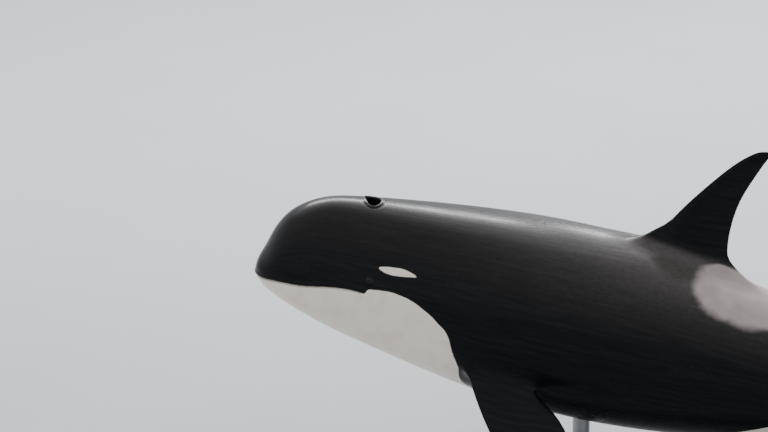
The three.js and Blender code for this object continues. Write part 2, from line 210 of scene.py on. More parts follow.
forward = Vector((0, math.cos(CAMERA_ELEVATION), -math.sin(CAMERA_ELEVATION)))
upward = Vector((0, math.sin(CAMERA_ELEVATION), math.cos(CAMERA_ELEVATION)))
right_shift = (FRAME_WIDTH / 2 - SNOUT_PIXEL[0]) / PIXELS_PER_METRE
up_shift = (SNOUT_PIXEL[1] - FRAME_HEIGHT / 2) / PIXELS_PER_METRE
aim = snout + Vector((right_shift, 0, 0)) + upward * up_shift

camera = bpy.data.objects.new("camera", bpy.data.cameras.new("camera"))
bpy.context.scene.collection.objects.link(camera)
camera.location = aim - forward * CAMERA_DISTANCE
camera.rotation_mode = "QUATERNION"
camera.rotation_quaternion = forward.to_track_quat("-Z", "Y")
camera.data.sensor_width = SENSOR
camera.data.lens = SENSOR * CAMERA_DISTANCE / (FRAME_WIDTH / PIXELS_PER_METRE)
camera.data.clip_end = 10 * CAMERA_DISTANCE
bpy.context.scene.camera = camera
print("lens %.0f mm, camera at %s" % (camera.data.lens, [round(x, 2) for x in camera.location]))

# %% [markdown]
# ## The mouth line and its lips
#
# The orca's mouth is a long, nearly straight cut that ends under the eye. On the real skin the upper
# lip overhangs a little, the groove is a few millimetres wide, and the lower lip is a soft roll. It
# could be a bump in the material, but then it would vanish in profile. Here the skin itself moves: each
# point goes in or out by a relief that depends on its distance to the mouth line.

# %% Relief of the mouth
MOUTH = [  # share along, and share above the spine line
    (-0.02, -0.0060), (0.004, -0.0040), (0.0152, -0.0013), (0.0433, 0.0024), (0.0731, 0.0075),
    (0.0885, 0.0091), (0.1000, 0.0092), (0.1085, 0.0086),
]
GAPE = 0.1085  # share of the mouth's corner
CORNER_FADE = 0.0035  # share over which the groove closes at the corner
GROOVE_DEPTH, GROOVE_WIDTH = 0.013, 0.0050
UPPER_LIP, UPPER_LIP_AT, UPPER_LIP_WIDTH = 0.0050, 0.014, 0.012
LOWER_LIP, LOWER_LIP_AT, LOWER_LIP_WIDTH = 0.0040, -0.018, 0.014
POUCH_BEHIND, POUCH_WIDTH = 0.006, 0.03  # share behind the corner and metres of its small swelling
LEAST_TILT = 0.15  # keeps distances finite where the skin faces straight up
mouth_height = spline_through(MOUTH)


def smooth(edge_low, edge_high, value):
    """0 below the first edge, 1 above the second, and smooth between."""
    t = np.clip((value - edge_low) / (edge_high - edge_low), 0, 1)
    return t * t * (3 - 2 * t)


def above_mouth(share, girth, normal):
    """Metres of skin above the mouth line, negative below it."""
    slope = np.radians(spine_slope(np.clip(share, 0, 1)))
    facing_up = normal[..., 0] * np.sin(slope) + normal[..., 2] * np.cos(slope)
    rise = (height_share(share, girth) - mouth_height(share)) * LENGTH
    return rise / np.sqrt(np.maximum(LEAST_TILT, 1 - facing_up ** 2))


def relief(share, girth, normal):
    """How far the skin stands out from the bare form."""
    distance = above_mouth(share, girth, normal)
    groove = -GROOVE_DEPTH * hump(distance, GROOVE_WIDTH)
    lips = UPPER_LIP * hump(distance - UPPER_LIP_AT, UPPER_LIP_WIDTH)
    lips += LOWER_LIP * hump(distance - LOWER_LIP_AT, LOWER_LIP_WIDTH)
    closing = 1 - smooth(GAPE - CORNER_FADE, GAPE + CORNER_FADE, share)
    behind = (share - GAPE - POUCH_BEHIND) * LENGTH
    pouch = LOWER_LIP * hump(distance, POUCH_WIDTH) * hump(behind, POUCH_WIDTH)
    return (groove + lips) * closing + pouch


def skin(share, girth):
    """Points of the finished skin in the room, and its outward normals."""
    normal, _ = lean(share, girth)
    return bare_skin(share, girth) + normal * relief(share, girth, normal)[..., None] + shift, normal


# %% [markdown]
# ## The markings
#
# The cream of the chin and throat, the small slanting eye patch and the grey saddle are the animal's
# name tag. They could be painted on an image, but a distance is better: each point of the skin keeps
# how many metres it lies inside a border, and the material turns that into a crisp or a soft edge.
# What the water hides in the photograph, the belly band and the lobes on the flanks, follows the
# species.

# %% Borders of the markings
WHITE_EDGE = [  # share along, and girth in degrees of the cream's upper edge behind the mouth
    (GAPE, 85.4), (0.1112, 85.2), (0.1125, 84.1), (0.1138, 82.4), (0.1158, 81.2), (0.1190, 80.8),
    (0.1228, 80.4), (0.1293, 79.9), (0.1393, 79.8), (0.1466, 80.5), (0.1638, 83.9), (0.1732, 87.2),
    (0.1828, 90.8), (0.1889, 94.0), (0.2004, 100.6), (0.206, 108), (0.213, 120), (0.222, 136),
    (0.236, 150), (0.260, 159), (0.290, 163), (0.330, 165), (0.400, 164), (0.460, 158), (0.520, 152),
    (0.580, 152), (0.640, 157), (0.700, 167), (0.735, 181), (0.800, 200), (1.000, 200),
]
EYE_PATCH = [  # share and girth in degrees, clockwise from the front end
    (0.1228, 64.2), (0.1243, 63.1), (0.1325, 62.1), (0.1450, 61.6), (0.1535, 62.8), (0.1600, 65.2),
    (0.1520, 66.4), (0.1406, 67.3), (0.1306, 66.9), (0.1250, 65.4),
]
FLANK_LOBE = [
    (0.470, 158), (0.525, 134), (0.580, 112), (0.630, 97), (0.668, 89), (0.688, 91), (0.680, 100),
    (0.645, 114), (0.612, 130), (0.598, 146), (0.600, 160), (0.540, 172),
]
SADDLE = [
    (0.452, -8), (0.441, 8), (0.434, 20), (0.436, 33), (0.456, 44), (0.490, 46), (0.525, 38),
    (0.556, 24), (0.572, 6), (0.572, -8),
]
# Painted sheen: a brown-grey colour on the back that stands in for the sky's gleam, most at the fin's foot.
# Below are its amounts on head, trunk and tail, and the shares where it rises, fades and ends, then the same
# for the fin's foot.
SHEEN_HEAD, SHEEN_TRUNK, SHEEN_TAIL = 0.14, 0.54, 0.25  # amounts, the last as a share of the trunk's
SHEEN_RISES, SHEEN_FADES, SHEEN_ENDS = (0.15, 0.38), (0.55, 0.80), (20, 80)  # shares, shares, degrees
FOOT_SHEEN, FOOT_RISES, FOOT_FADES, FOOT_ENDS = 0.45, (0.32, 0.40), (0.43, 0.53), (12, 55)
OUTLINE_SAMPLES = 10
FAR_OUTSIDE, BLACK_SKIN = -0.5, -0.1  # metres, for points nowhere near a marking, and well off the cream
white_edge = spline_through(WHITE_EDGE)


def closed_curve(points):
    """A smooth closed curve through points, as many short straight steps."""
    p = np.array(points, float)
    before, after, beyond = np.roll(p, 1, 0), np.roll(p, -1, 0), np.roll(p, -2, 0)
    steps = []
    for t in np.arange(OUTLINE_SAMPLES) / OUTLINE_SAMPLES:
        pull = (after - before) * (t - 2 * t * t + t ** 3) + (beyond - p) * (t ** 3 - t * t)
        steps.append(p + (after - p) * (3 * t * t - 2 * t ** 3) + pull / 2)
    return np.stack(steps, axis=1).reshape(-1, 2)


def is_inside(loop, points):
    """For each point in the plane, whether it lies inside a closed loop."""
    a, b = loop, np.roll(loop, -1, 0)
    x, y = points[:, 0, None], points[:, 1, None]
    crosses = (a[:, 1] > y) != (b[:, 1] > y)
    with np.errstate(divide="ignore", invalid="ignore"):
        where = a[:, 0] + (y - a[:, 1]) / (b[:, 1] - a[:, 1]) * (b[:, 0] - a[:, 0])
    return np.count_nonzero(crosses & (x < where), axis=1) % 2 == 1


def depth_inside(loop, points):
    """Distance to a closed loop, positive inside it."""
    a, b = loop, np.roll(loop, -1, 0)
    edge = b - a
    gap = points[:, None] - a
    t = np.clip(np.sum(gap * edge, -1) / np.sum(edge * edge, -1), 0, 1)
    distance = np.min(np.linalg.norm(gap - t[..., None] * edge, axis=-1), axis=1)
    return np.where(is_inside(loop, points), distance, -distance)


def patch_depth(outline, share, girth):
    """Metres inside a marking whose outline is given by share and girth in degrees, on both flanks."""
    middle = np.mean(outline, axis=0)
    scale = np.array([LENGTH, metres_per_radian(middle[0], math.radians(middle[1]))])
    loop = closed_curve([(s, math.radians(g)) for s, g in outline]) * scale
    points = np.stack([share, np.abs(girth)], -1).reshape(-1, 2) * scale
    near = np.all((points > loop.min(0) + FAR_OUTSIDE) & (points < loop.max(0) - FAR_OUTSIDE), axis=1)
    depth = np.full(len(points), FAR_OUTSIDE)
    depth[near] = np.maximum(depth_inside(loop, points[near]), FAR_OUTSIDE)
    return depth.reshape(np.shape(share))


def cream_depth(share, girth):
    """Metres inside the cream of chin, throat, belly, flank lobes and eye patch."""
    around = np.abs(girth)
    normal, radius = lean(share, around)
    under_mouth = -above_mouth(share, around, normal)
    edge_turn = (white_edge(share + NUDGE) - white_edge(share - NUDGE)) / (2 * NUDGE)
    steepness = np.sqrt(1 + (np.radians(edge_turn) * radius / LENGTH) ** 2)
    under_edge = (around - np.radians(white_edge(share))) * radius / steepness
    depth = np.where(share < GAPE, under_mouth, under_edge)
    for outline in (EYE_PATCH, FLANK_LOBE):
        depth = np.maximum(depth, patch_depth(outline, share, around))
    return np.clip(depth, FAR_OUTSIDE, -FAR_OUTSIDE)


def saddle_depth(share, girth):
    """Metres inside the grey saddle."""
    return patch_depth(SADDLE, share, girth)


def painted_sheen_amount(share, girth):
    """How much painted sheen, a brown-grey colour for the sky's gleam, the back gets: most at the fin's foot,
    little on the head, and none on the lower flank.
    """
    across = np.degrees(np.abs(girth))
    back = SHEEN_HEAD + (SHEEN_TRUNK - SHEEN_HEAD) * smooth(*SHEEN_RISES, share)
    back = back * (1 - (1 - SHEEN_TAIL) * smooth(*SHEEN_FADES, share)) * (1 - smooth(*SHEEN_ENDS, across))
    foot = smooth(*FOOT_RISES, share) * (1 - smooth(*FOOT_FADES, share)) * (1 - smooth(*FOOT_ENDS, across))
    return back + FOOT_SHEEN * foot


# %% [markdown]
# ## The body as a grid of rings
#
# A skin is best laid out as the animal grows: rings round the body, lines along it. The rings stand a
# few millimetres apart at the face and a hand's breadth on the trunk, and the lines crowd together at
# the mouth, so that the lips have points enough. One line of the grid follows the mouth exactly, which
# keeps the groove clean.

# %% Rings and lines
RING_SPACING = [  # root of the share, and the step of that root between two rings
    (0.00, 0.0024), (0.10, 0.0021), (0.34, 0.0017), (0.42, 0.0020), (0.52, 0.0044), (0.80, 0.0037),
    (0.92, 0.0025), (0.965, 0.0014), (1.00, 0.0007),
]
LINES_ABOVE, LINES_BELOW = 58, 40  # on each flank, above and below the mouth's line
CROWDED_AT_MOUTH, CROWDED_AT_PATCH = (0.0, 0.12, 6.0), (0.36, 0.20, 2.0)  # radians off, reach, density
MOUTH_REACH = (0.112, 0.24)  # shares between which the guiding line leaves the mouth's height
STEEPEST_GUIDE = 2.5  # radians, the guiding line's greatest angle at the very snout
HALVINGS, DENSITY_SAMPLES = 40, 400  # steps that find the guiding line's girth, and that add up density


def ring_shares():
    """Shares of the rings, from the snout to the notch of the flukes."""
    root, found = 0.0, [0.0]
    places, steps = zip(*RING_SPACING)
    while root < 1:
        root = min(1.0, root + np.interp(root, places, steps))
        found.append(root ** 2)
    return np.array(found)


def guide_girth(share):
    """The girth of the guiding line: the mouth's in the head, evenly spread behind."""
    low_girth, high_girth = np.zeros_like(share), np.full_like(share, math.pi)
    wanted = mouth_height(np.minimum(share, GAPE))
    for _ in range(HALVINGS):
        middle = (low_girth + high_girth) / 2
        too_high = height_share(share, middle) > wanted
        low_girth, high_girth = np.where(too_high, middle, low_girth), np.where(too_high, high_girth, middle)
    even = math.pi * LINES_ABOVE / (LINES_ABOVE + LINES_BELOW)
    mouth_girth = np.minimum(low_girth, STEEPEST_GUIDE)
    return mouth_girth + (even - mouth_girth) * smooth(*MOUTH_REACH, share)


def crowded(span, count, strength, crowds):
    """Places from 0 to span, closer together in each crowd."""
    fine = np.linspace(0, span, DENSITY_SAMPLES)
    density = 1 + sum(strength * more * hump(fine - place, reach) for place, reach, more in crowds)
    total = np.concatenate([[0], np.cumsum((density[1:] + density[:-1]) / 2)])
    return np.interp(np.linspace(0, total[-1], count + 1), total, fine)


def ring_girths(share, guide):
    """Girths of one ring's points, from the belly's middle over the right flank, the back and the left."""
    strength = 1 - smooth(*MOUTH_REACH, share)
    up = guide - crowded(guide, LINES_ABOVE, strength, (CROWDED_AT_MOUTH, CROWDED_AT_PATCH))[::-1]
    down = guide + crowded(math.pi - guide, LINES_BELOW, strength, (CROWDED_AT_MOUTH,))
    left = np.concatenate([up, down[1:]])
    return np.concatenate([-left[:0:-1], left[:-1]])


shares = ring_shares()
guides = guide_girth(shares)
grid_girth = np.array([ring_girths(s, g) for s, g in zip(shares, guides)])
grid_share = np.repeat(shares[:, None], grid_girth.shape[1], axis=1)
print("rings:", len(shares), "lines:", grid_girth.shape[1])

# %% [markdown]
# ## A store for the skin's pieces
#
# The body, the fins, the eyelids and the blowhole are made one after the other, and end as one mesh.
# Each lot of points brings what the material needs: how deep it lies in the cream and the saddle, how
# much painted sheen it gets, how much it belongs to a bare lip, and a flat map of the skin in metres,
# along and around, for streaks that follow the body. Each face brings its place on the map for baking.

# %% Store
points, lay, faces, face_maps = [], [], [], []
measures = {"cream_depth": [], "saddle_depth": [], "painted_sheen_amount": [], "bareness": []}
LAY_WIDTH = 0.1 * LENGTH  # metres of the flat map for each radian of girth
MAP_EDGE, MAP_HEAD, MAP_HEAD_WIDTH = 0.005, 0.2, 0.34  # the head's share of the body and of the map's width
MAP_BODY_HEIGHT, MAP_FIN_LOW, MAP_FIN_HIGH = 0.74, 0.76, 0.99


def body_map(share, girth):
    """Place on the baking map of a point of the body."""
    along = np.interp(share, [0, MAP_HEAD, 1], [MAP_EDGE, MAP_HEAD_WIDTH, 1 - MAP_EDGE])
    return np.stack([along, (girth / (2 * math.pi) + 0.5) * MAP_BODY_HEIGHT], -1)


def store_points(place, share, girth, cream_in=BLACK_SKIN, saddle_in=FAR_OUTSIDE, sheen_in=0, bare=0, out=0):
    """Keeps a lot of points and returns the number of its first one. Out is metres up a fin."""
    shape = np.shape(place)[:-1]
    first = sum(len(lot) for lot in points)
    points.append(np.reshape(place, (-1, 3)))
    for kept, values in zip(measures.values(), (cream_in, saddle_in, sheen_in, bare)):
        kept.append(np.broadcast_to(values, shape).reshape(-1))
    flat = (np.multiply(share, LENGTH), np.multiply(girth, LAY_WIDTH) + out, 0.0)
    lay.append(np.stack([np.broadcast_to(part, shape) for part in flat], -1).reshape(-1, 3))
    return first


def store_faces(corners, maps):
    """Keeps faces, given by the numbers of their points, with their places on the baking map."""
    faces.extend(np.asarray(corners).tolist())
    face_maps.append(np.reshape(maps, (-1, 2)))


def quads_between(loops, count, first=0):
    """Faces between loops of count points each, which are numbered from the first one."""
    return [(first + i * count + j, first + i * count + (j + 1) % count,
             first + (i + 1) * count + (j + 1) % count, first + (i + 1) * count + j)
            for i in range(loops - 1) for j in range(count)]


def ring_faces(first, rings, count, maps):
    """Faces between stored rings of points, and a fan that closes the last one on the point after it."""
    corners = np.array(quads_between(rings, count))
    fan = np.arange(count)
    last = (rings - 1) * count
    tips = np.stack([last + fan, last + (fan + 1) % count, np.full(count, rings * count)], -1)
    store_faces(first + corners, maps(corners))
    store_faces(first + tips, maps(tips))


# %% [markdown]
# ## Fins
#
# Each fin is a blade with a rounded front and a thin rear, which grows out of the body in a hollow
# curve without any seam. A boolean join would leave a hard crease there. So the blade is lofted from
# rings, and its first rings run down a fillet to a footprint that lies exactly on the body's skin.

# %% Fin shapes
DORSAL = dict(
    station=0.430, girth=0, span=0.840, droop=0, thickness=0.15, curl=0, root=0.135,
    front=0.060, rear=0.270, side=0.060, rows=34,
    outline=[  # share of the span, then the leading and the trailing edge in metres behind the station
        (0, -.365, .215), (.107, -.338, .202), (.168, -.292, .192), (.246, -.229, .177), (.331, -.189, .168),
        (.508, -.111, .165), (.671, -.030, .186), (.823, .055, .220), (.889, .100, .236), (.945, .147, .252),
        (.98, .188, .263), (1, .268, .268),
    ],
)
FLIPPER = dict(
    station=0.257, girth=123, span=0.715, droop=42, thickness=0.115, curl=-0.060, root=0.110,
    front=0.050, rear=0.090, side=0.045, rows=30,
    outline=[
        (0, -.172, .190), (.125, -.132, .318), (.26, -.085, .430), (.46, -.004, .532), (.66, .101, .592),
        (.83, .233, .612), (.95, .377, .582), (1, .505, .505),
    ],
)
FLUKE = dict(
    station=0.945, girth=90, span=0.750, droop=0, thickness=0.105, curl=0.050, root=0.065,
    front=0.060, rear=0.008, side=0.036, rows=30,
    outline=[
        (0, -.300, .322), (.06, -.250, .372), (.15, -.186, .396), (.3, -.076, .397), (.5, .060, .389),
        (.7, .186, .398), (.87, .296, .425), (.96, .362, .446), (1, .436, .436),
    ],
)
FIN_SIDES, FILLET_ROWS, FILLET_PULL = 64, 8, 0.45
FULLNESS_FRONT, FULLNESS_TAPER = 1.3, 0.75  # a fin's section is thickest ahead of the middle
LAST_FOOT = 0.9965  # share behind which no footprint reaches
FIN_CROWDING, TIP_SPREAD = 0.92, 0.998  # how a blade's rings crowd to its tip, and where the last one lies
FLUKE_RIM, FLUKE_ROOT = 0.16, 1.4  # share of the chord, and share of the root's height, dark under the flukes
SADDLE_CLIMB, CREAM_CLIMB = 0.008, 0.02  # metres that the saddle and the belly's cream climb up a fin's foot
# Between these metres up a fin's foot the painted sheen of the back ends.
SHEEN_CLIMB = (0.01, 0.075)  # metres up a fin's foot between which the brown of the back ends


def fin_frame(fin):
    """Root point and the directions to the rear, outwards and across a fin's thickness, on the left."""
    slope = math.radians(float(spine_slope(fin["station"])))
    rearward = np.array([math.cos(slope), 0, -math.sin(slope)])
    up = np.array([math.sin(slope), 0, math.cos(slope)])
    droop = math.radians(fin["droop"])
    outward = up if fin["girth"] == 0 else np.array([0, -math.cos(droop), 0]) - math.sin(droop) * up
    root = bare_skin(np.array(fin["station"]), np.array(math.radians(fin["girth"])))
    return root, rearward, outward, np.cross(outward, rearward)


def spread_at(part):
    """A fin's rings lie evenly over its spread, which crowds them where the outline turns at the tip."""
    return 1 - math.sqrt(1 - part)


def blade_height(fin, spread):
    """Metres up a blade at a spread."""
    return fin["span"] * (1 - (1 - spread) ** 2)


def fin_rings(fin):
    """Rings of points from the footprint to the tip, with share, girth, height and place on the chord."""
    root, rearward, outward, across = fin_frame(fin)
    girth = math.radians(fin["girth"])
    turn = -2 * math.pi * np.arange(FIN_SIDES) / FIN_SIDES
    chord_place = (1 - np.cos(turn)) / 2
    leading, trailing = (spline_through([(spread_at(row[0]), row[i]) for row in fin["outline"]])
                         for i in (1, 2))
    around = bare_skin(fin["station"], girth + NUDGE) - bare_skin(fin["station"], girth - NUDGE)
    per_radian = math.copysign(np.linalg.norm(around) / (2 * NUDGE), around @ across)

    def section(spread):
        chord = trailing(spread) - leading(spread)
        full = FULLNESS_FRONT - FULLNESS_TAPER * chord_place
        half = 0.5 * fin["thickness"] * chord * np.sin(turn) * full
        return leading(spread) + chord * chord_place, half

    def on_body(behind, half, flared):
        reach = np.where(np.cos(turn) > 0, fin["front"], fin["rear"])
        share = fin["station"] + (behind - flared * reach * np.cos(turn)) / LENGTH
        angle = girth + (half + flared * fin["side"] * np.sin(turn)) / per_radian
        return np.minimum(share, LAST_FOOT), angle

    def on_blade(behind, half, spread):
        height = blade_height(fin, spread)
        place = root + rearward * behind[:, None] + outward * height + across * half[:, None]
        return place + np.array([0, 0, fin["curl"] * (height / fin["span"]) ** 2]) + shift

    root_spread = spread_at(fin["root"] / fin["span"])
    behind, half = section(0)
    edge_share, edge_girth = on_body(behind, half, 1)
    corner_share, corner_girth = on_body(behind, half, 0)
    edge, corner = skin(edge_share, edge_girth)[0], skin(corner_share, corner_girth)[0]
    wall_behind, wall_half = section(root_spread)
    wall = on_blade(wall_behind, wall_half, root_spread)
    pulled_edge = edge + (corner - edge) * FILLET_PULL
    pulled_wall = wall + (corner - wall) * FILLET_PULL
    rings = []
    for t in np.arange(FILLET_ROWS) / FILLET_ROWS:
        s = 1 - t
        place = s ** 3 * edge + 3 * s * s * t * pulled_edge + 3 * s * t * t * pulled_wall + t ** 3 * wall
        share = edge_share + (corner_share - edge_share) * t
        angle = edge_girth + (corner_girth - edge_girth) * t
        rings.append((place, share, angle, fin["root"] * t * t, chord_place, wall_half))
    steps = np.linspace(0, 1, fin["rows"]) ** FIN_CROWDING
    for spread in root_spread + (TIP_SPREAD - root_spread) * steps:
        behind, half = section(spread)
        share = fin["station"] + behind / LENGTH
        place = on_blade(behind, half, spread)
        rings.append((place, share, corner_girth, blade_height(fin, spread), chord_place, half))
    return rings


for name, fin in (("dorsal fin", DORSAL), ("flipper", FLIPPER), ("fluke", FLUKE)):
    print(name, "tip at", np.round(fin_rings(fin)[-1][0].mean(0), 3))

# %% [markdown]
# ## Sewing
#
# To sew a fin or an eyelid into the body, the faces of the grid under its footprint are cut away, and
# the gap between the cut edge and the footprint's ring is filled with triangles. That is flat work: on
# the body's own map of share and girth both edges are simple loops, and Blender's Delaunay triangulation
# fills the space between them.

# %% Sewing
FIN_MARGIN, DISC_MARGIN = 0.012, 0.004  # metres cut away round a fin's footprint, and round a sewn-in disc
kept_face = np.ones((len(shares) - 1, grid_girth.shape[1]), bool)
seams = []  # the cut edge's rings and lines, the sewn ring's first point, shares and girths, and the scale


def grid_index(ring, line):
    """Number of a grid point. The snout is one point, and the lines close round the body."""
    lines = grid_girth.shape[1]
    return np.where(ring == 0, 0, 1 + (ring - 1) * lines + line % lines)


def sew(ring_first, ring_share, ring_girth, margin):
    """Cuts the grid away under a ring of stored points, and notes the seam between the two."""
    scale = np.array([LENGTH, metres_per_radian(ring_share.mean(), ring_girth.mean())])
    loop = np.stack([ring_share, ring_girth], -1) * scale
    nodes = np.stack([grid_share, grid_girth], -1).reshape(-1, 2) * scale
    near = np.all((nodes > loop.min(0) - 2 * margin) & (nodes < loop.max(0) + 2 * margin), axis=1)
    under = np.zeros(len(nodes), bool)
    under[near] = depth_inside(loop, nodes[near]) > -margin
    under = under.reshape(grid_share.shape)
    wide = np.concatenate([under, under[:, :1]], axis=1)
    hit = wide[:-1, :-1] | wide[1:, :-1] | wide[:-1, 1:] | wide[1:, 1:]
    kept_face[hit] = False
    following = {}
    for i, j in zip(*np.nonzero(hit)):
        corners = [(i, j), (i, j + 1), (i + 1, j + 1), (i + 1, j)]
        neighbours = [(i - 1, j), (i, j + 1), (i + 1, j), (i, j - 1)]
        for k, (row, line) in enumerate(neighbours):
            inside_grid = 0 <= row < hit.shape[0] and 0 <= line < hit.shape[1]
            if not (inside_grid and hit[row, line]):
                following[corners[k]] = corners[(k + 1) % 4]
    start = next(iter(following))
    edge, here = [start], following[start]
    while here != start:
        edge.append(here)
        here = following[here]
    if len(edge) != len(following):
        raise ValueError("the cut edge is not one loop")
    seams.append((np.array(edge).T, ring_first, ring_share, ring_girth, scale))


def sew_disc(rows, station, girth, upright, sunk, in_cream):
    """Sews a disc in: rows of place, share, girth and bareness from its rim to the ring round its middle."""
    places, ring_shares, girths, bare = (np.array(part) for part in zip(*rows))
    inside = cream_depth(ring_shares, girths) if in_cream else BLACK_SKIN
    first = store_points(places, ring_shares, girths, inside, bare=bare[:, None])
    middle = places[-1].mean(0) - upright * sunk
    store_points(middle[None], ring_shares[-1, :1], girths[-1, :1])
    maps = np.concatenate([body_map(ring_shares, girths).reshape(-1, 2), body_map(station, girth)[None]])
    ring_faces(first, len(rows), len(girths[0]), lambda corners: maps[corners])
    sew(first, ring_shares[0], girths[0], DISC_MARGIN)


def fill_seams():
    """Fills each gap between a cut edge and its ring with triangles."""
    for (rows, lines), ring_first, ring_share, ring_girth, scale in seams:
        edge_place = np.stack([grid_share[rows, lines], grid_girth[rows, lines]], -1)
        ring_place = np.stack([ring_share, ring_girth], -1)
        places = np.concatenate([edge_place, ring_place])
        numbers = np.concatenate([grid_index(rows, lines), ring_first + np.arange(len(ring_share))])
        n, m = len(rows), len(ring_share)
        bounds = [(i, (i + 1) % n) for i in range(n)] + [(n + i, n + (i + 1) % m) for i in range(m)]
        flat = [Vector(p) for p in places * scale]
        made, _, triangles, origin, _, _ = delaunay_2d_cdt(flat, bounds, [], 0, TINY)
        back = [o[0] for o in origin]
        triangles = np.array([[back[k] for k in t] for t in triangles])
        centres = (places * scale)[triangles].mean(1)
        between = is_inside(edge_place * scale, centres) & ~is_inside(ring_place * scale, centres)
        triangles = triangles[between]
        store_faces(numbers[triangles], body_map(places[..., 0], places[..., 1])[triangles])


# %% [markdown]
# ## The body's points
#
# With the helpers in place the grid can be stored. Its faces wait until everything that is sewn into
# it has cut its hole.

# %% Store the body's points
grid_place = skin(grid_share[1:], grid_girth[1:])[0]
store_points(shift[None], 0.0, 0.0, -above_mouth(0.0, 0.0, np.array([-1.0, 0.0, 0.0])))
# The cream and the saddle, and the painted sheen on the back.
markings_and_sheen = [kind(grid_share[1:], grid_girth[1:]) for kind in (cream_depth, saddle_depth, painted_sheen_amount)]
store_points(grid_place, grid_share[1:], grid_girth[1:], *markings_and_sheen)
print("body points:", len(points[1]) + 1)

# %% [markdown]
# ## Sewing the fins on
#
# The left flipper and fluke are made, and the right ones are their mirror images. Under the flukes the
# skin is cream with a dark rim. The flippers are black all over.

# %% Sew the fins on
ISLAND_WIDTH, ISLAND_GAP = 0.19, 0.01  # of each fin's island on the baking map
SADDLE_SLOPE = 4.0  # how fast the saddle ends up a fin's foot
FLUKE_TOP = -0.05  # metres outside the cream, for the black upper side of a fluke
fin_feet = []


def fluke_cream(height, chord, chord_place, half):
    """Metres inside the cream under a fluke."""
    from_edge = (np.minimum(chord_place, 1 - chord_place) - FLUKE_RIM) * chord
    depth = np.minimum(from_edge, height - FLUKE["root"] * FLUKE_ROOT)
    return np.where(half < 0, depth, FLUKE_TOP)


def sew_fin(fin, side, island):
    """Stores one fin and sews it to the body. Side is -1 for a mirror image on the right."""
    place, share, girth, height, chord_place, half = (np.array(part) for part in zip(*fin_rings(fin)))
    place, girth = place * [1, side, 1], girth * side
    height = np.repeat(height[:, None], FIN_SIDES, axis=1)
    chord = np.linalg.norm(place[:, FIN_SIDES // 2] - place[:, 0], axis=-1)[:, None]
    if fin is FLUKE:
        inside = fluke_cream(height, chord, chord_place, half)
        inside = np.maximum(inside, np.where(height > CREAM_CLIMB, FAR_OUTSIDE, cream_depth(share, girth)))
    else:
        inside = np.full(share.shape, BLACK_SKIN)
        inside[0] = cream_depth(share[0], girth[0])
    grey = saddle_depth(share, girth) - SADDLE_SLOPE * np.maximum(0, height - SADDLE_CLIMB)
    # The back's painted sheen fades out up the fin's foot.
    painted_sheen = painted_sheen_amount(share, girth) * (1 - smooth(*SHEEN_CLIMB, height))
    first = store_points(place, share, girth, inside, grey, painted_sheen, out=height * side)
    store_points(place[-1].mean(0)[None], share[-1, :1], girth[-1, :1], inside[-1, :1], grey[-1, :1],
                 out=height[-1, :1] * side)

    def maps(corners):
        row, line = corners // FIN_SIDES, corners % FIN_SIDES
        line = np.where((line == 0) & np.any(line == FIN_SIDES - 1, axis=1)[:, None], FIN_SIDES, line)
        u = island * ISLAND_WIDTH + ISLAND_GAP + (ISLAND_WIDTH - 2 * ISLAND_GAP) * row / len(place)
        return np.stack([u, MAP_FIN_LOW + (MAP_FIN_HIGH - MAP_FIN_LOW) * line / FIN_SIDES], -1)

    ring_faces(first, len(place), FIN_SIDES, maps)
    sew(first, share[0], girth[0], FIN_MARGIN)
    fin_feet.append(first)


sew_fin(DORSAL, 1, 0)
for side in (1, -1):
    sew_fin(FLIPPER, side, 1 if side > 0 else 2)
    sew_fin(FLUKE, side, 3 if side > 0 else 4)
print("points with fins:", sum(len(lot) for lot in points))

# %% [markdown]
# ## Eyelids
#
# The eye of an orca is small and lies low, just above the corner of the mouth. Its lids are thick, dark
# rolls round an almond-shaped slit, with a fold above and below. A disc of finer skin is sewn in there.
# From its rim inwards it rises onto the eyeball, forms the lid's edge, and turns in behind it.

# %% Eyelids
LID_SIDES, LID_ROWS, LID_REACH, LID_CROWDING = 56, 12, 0.046, 1.35
SLIT_LENGTH, SLIT_HEIGHT, SLIT_POINTED, SLIT_TILT = 0.046, 0.026, 0.38, 0.0022
LID_THICKNESS, LID_RISES = 0.0016, 0.75  # metres, and share of the way to the rim over which it rises
LID_ROLL, LID_ROLL_AT, LID_ROLL_WIDTH = 0.0024, 0.10, 0.09  # metres, then shares of the way to the rim
LID_FOLD, LID_FOLD_AT, LID_FOLD_WIDTH = 0.0030, 0.33, 0.07
LID_CORNERS, LOWER_FOLD = 0.35, 0.25  # how full the roll is at the slit's ends, and the fold below it
LID_BARE, LID_BARE_WIDTH = 0.25, 0.12
MIDDLE_SUNK = 0.002
TUCKED = [(0.98, 0.0010), (0.95, 0.0001), (0.90, -0.0014), (0.60, -0.004)]  # share of the slit, over the ball


def ball_rise(x, y):
    """Height of the eyeball's surface over the skin's plane, at a distance from its axis."""
    return EYE_PROUD - EYE_RADIUS + np.sqrt(EYE_RADIUS ** 2 - x ** 2 - y ** 2)


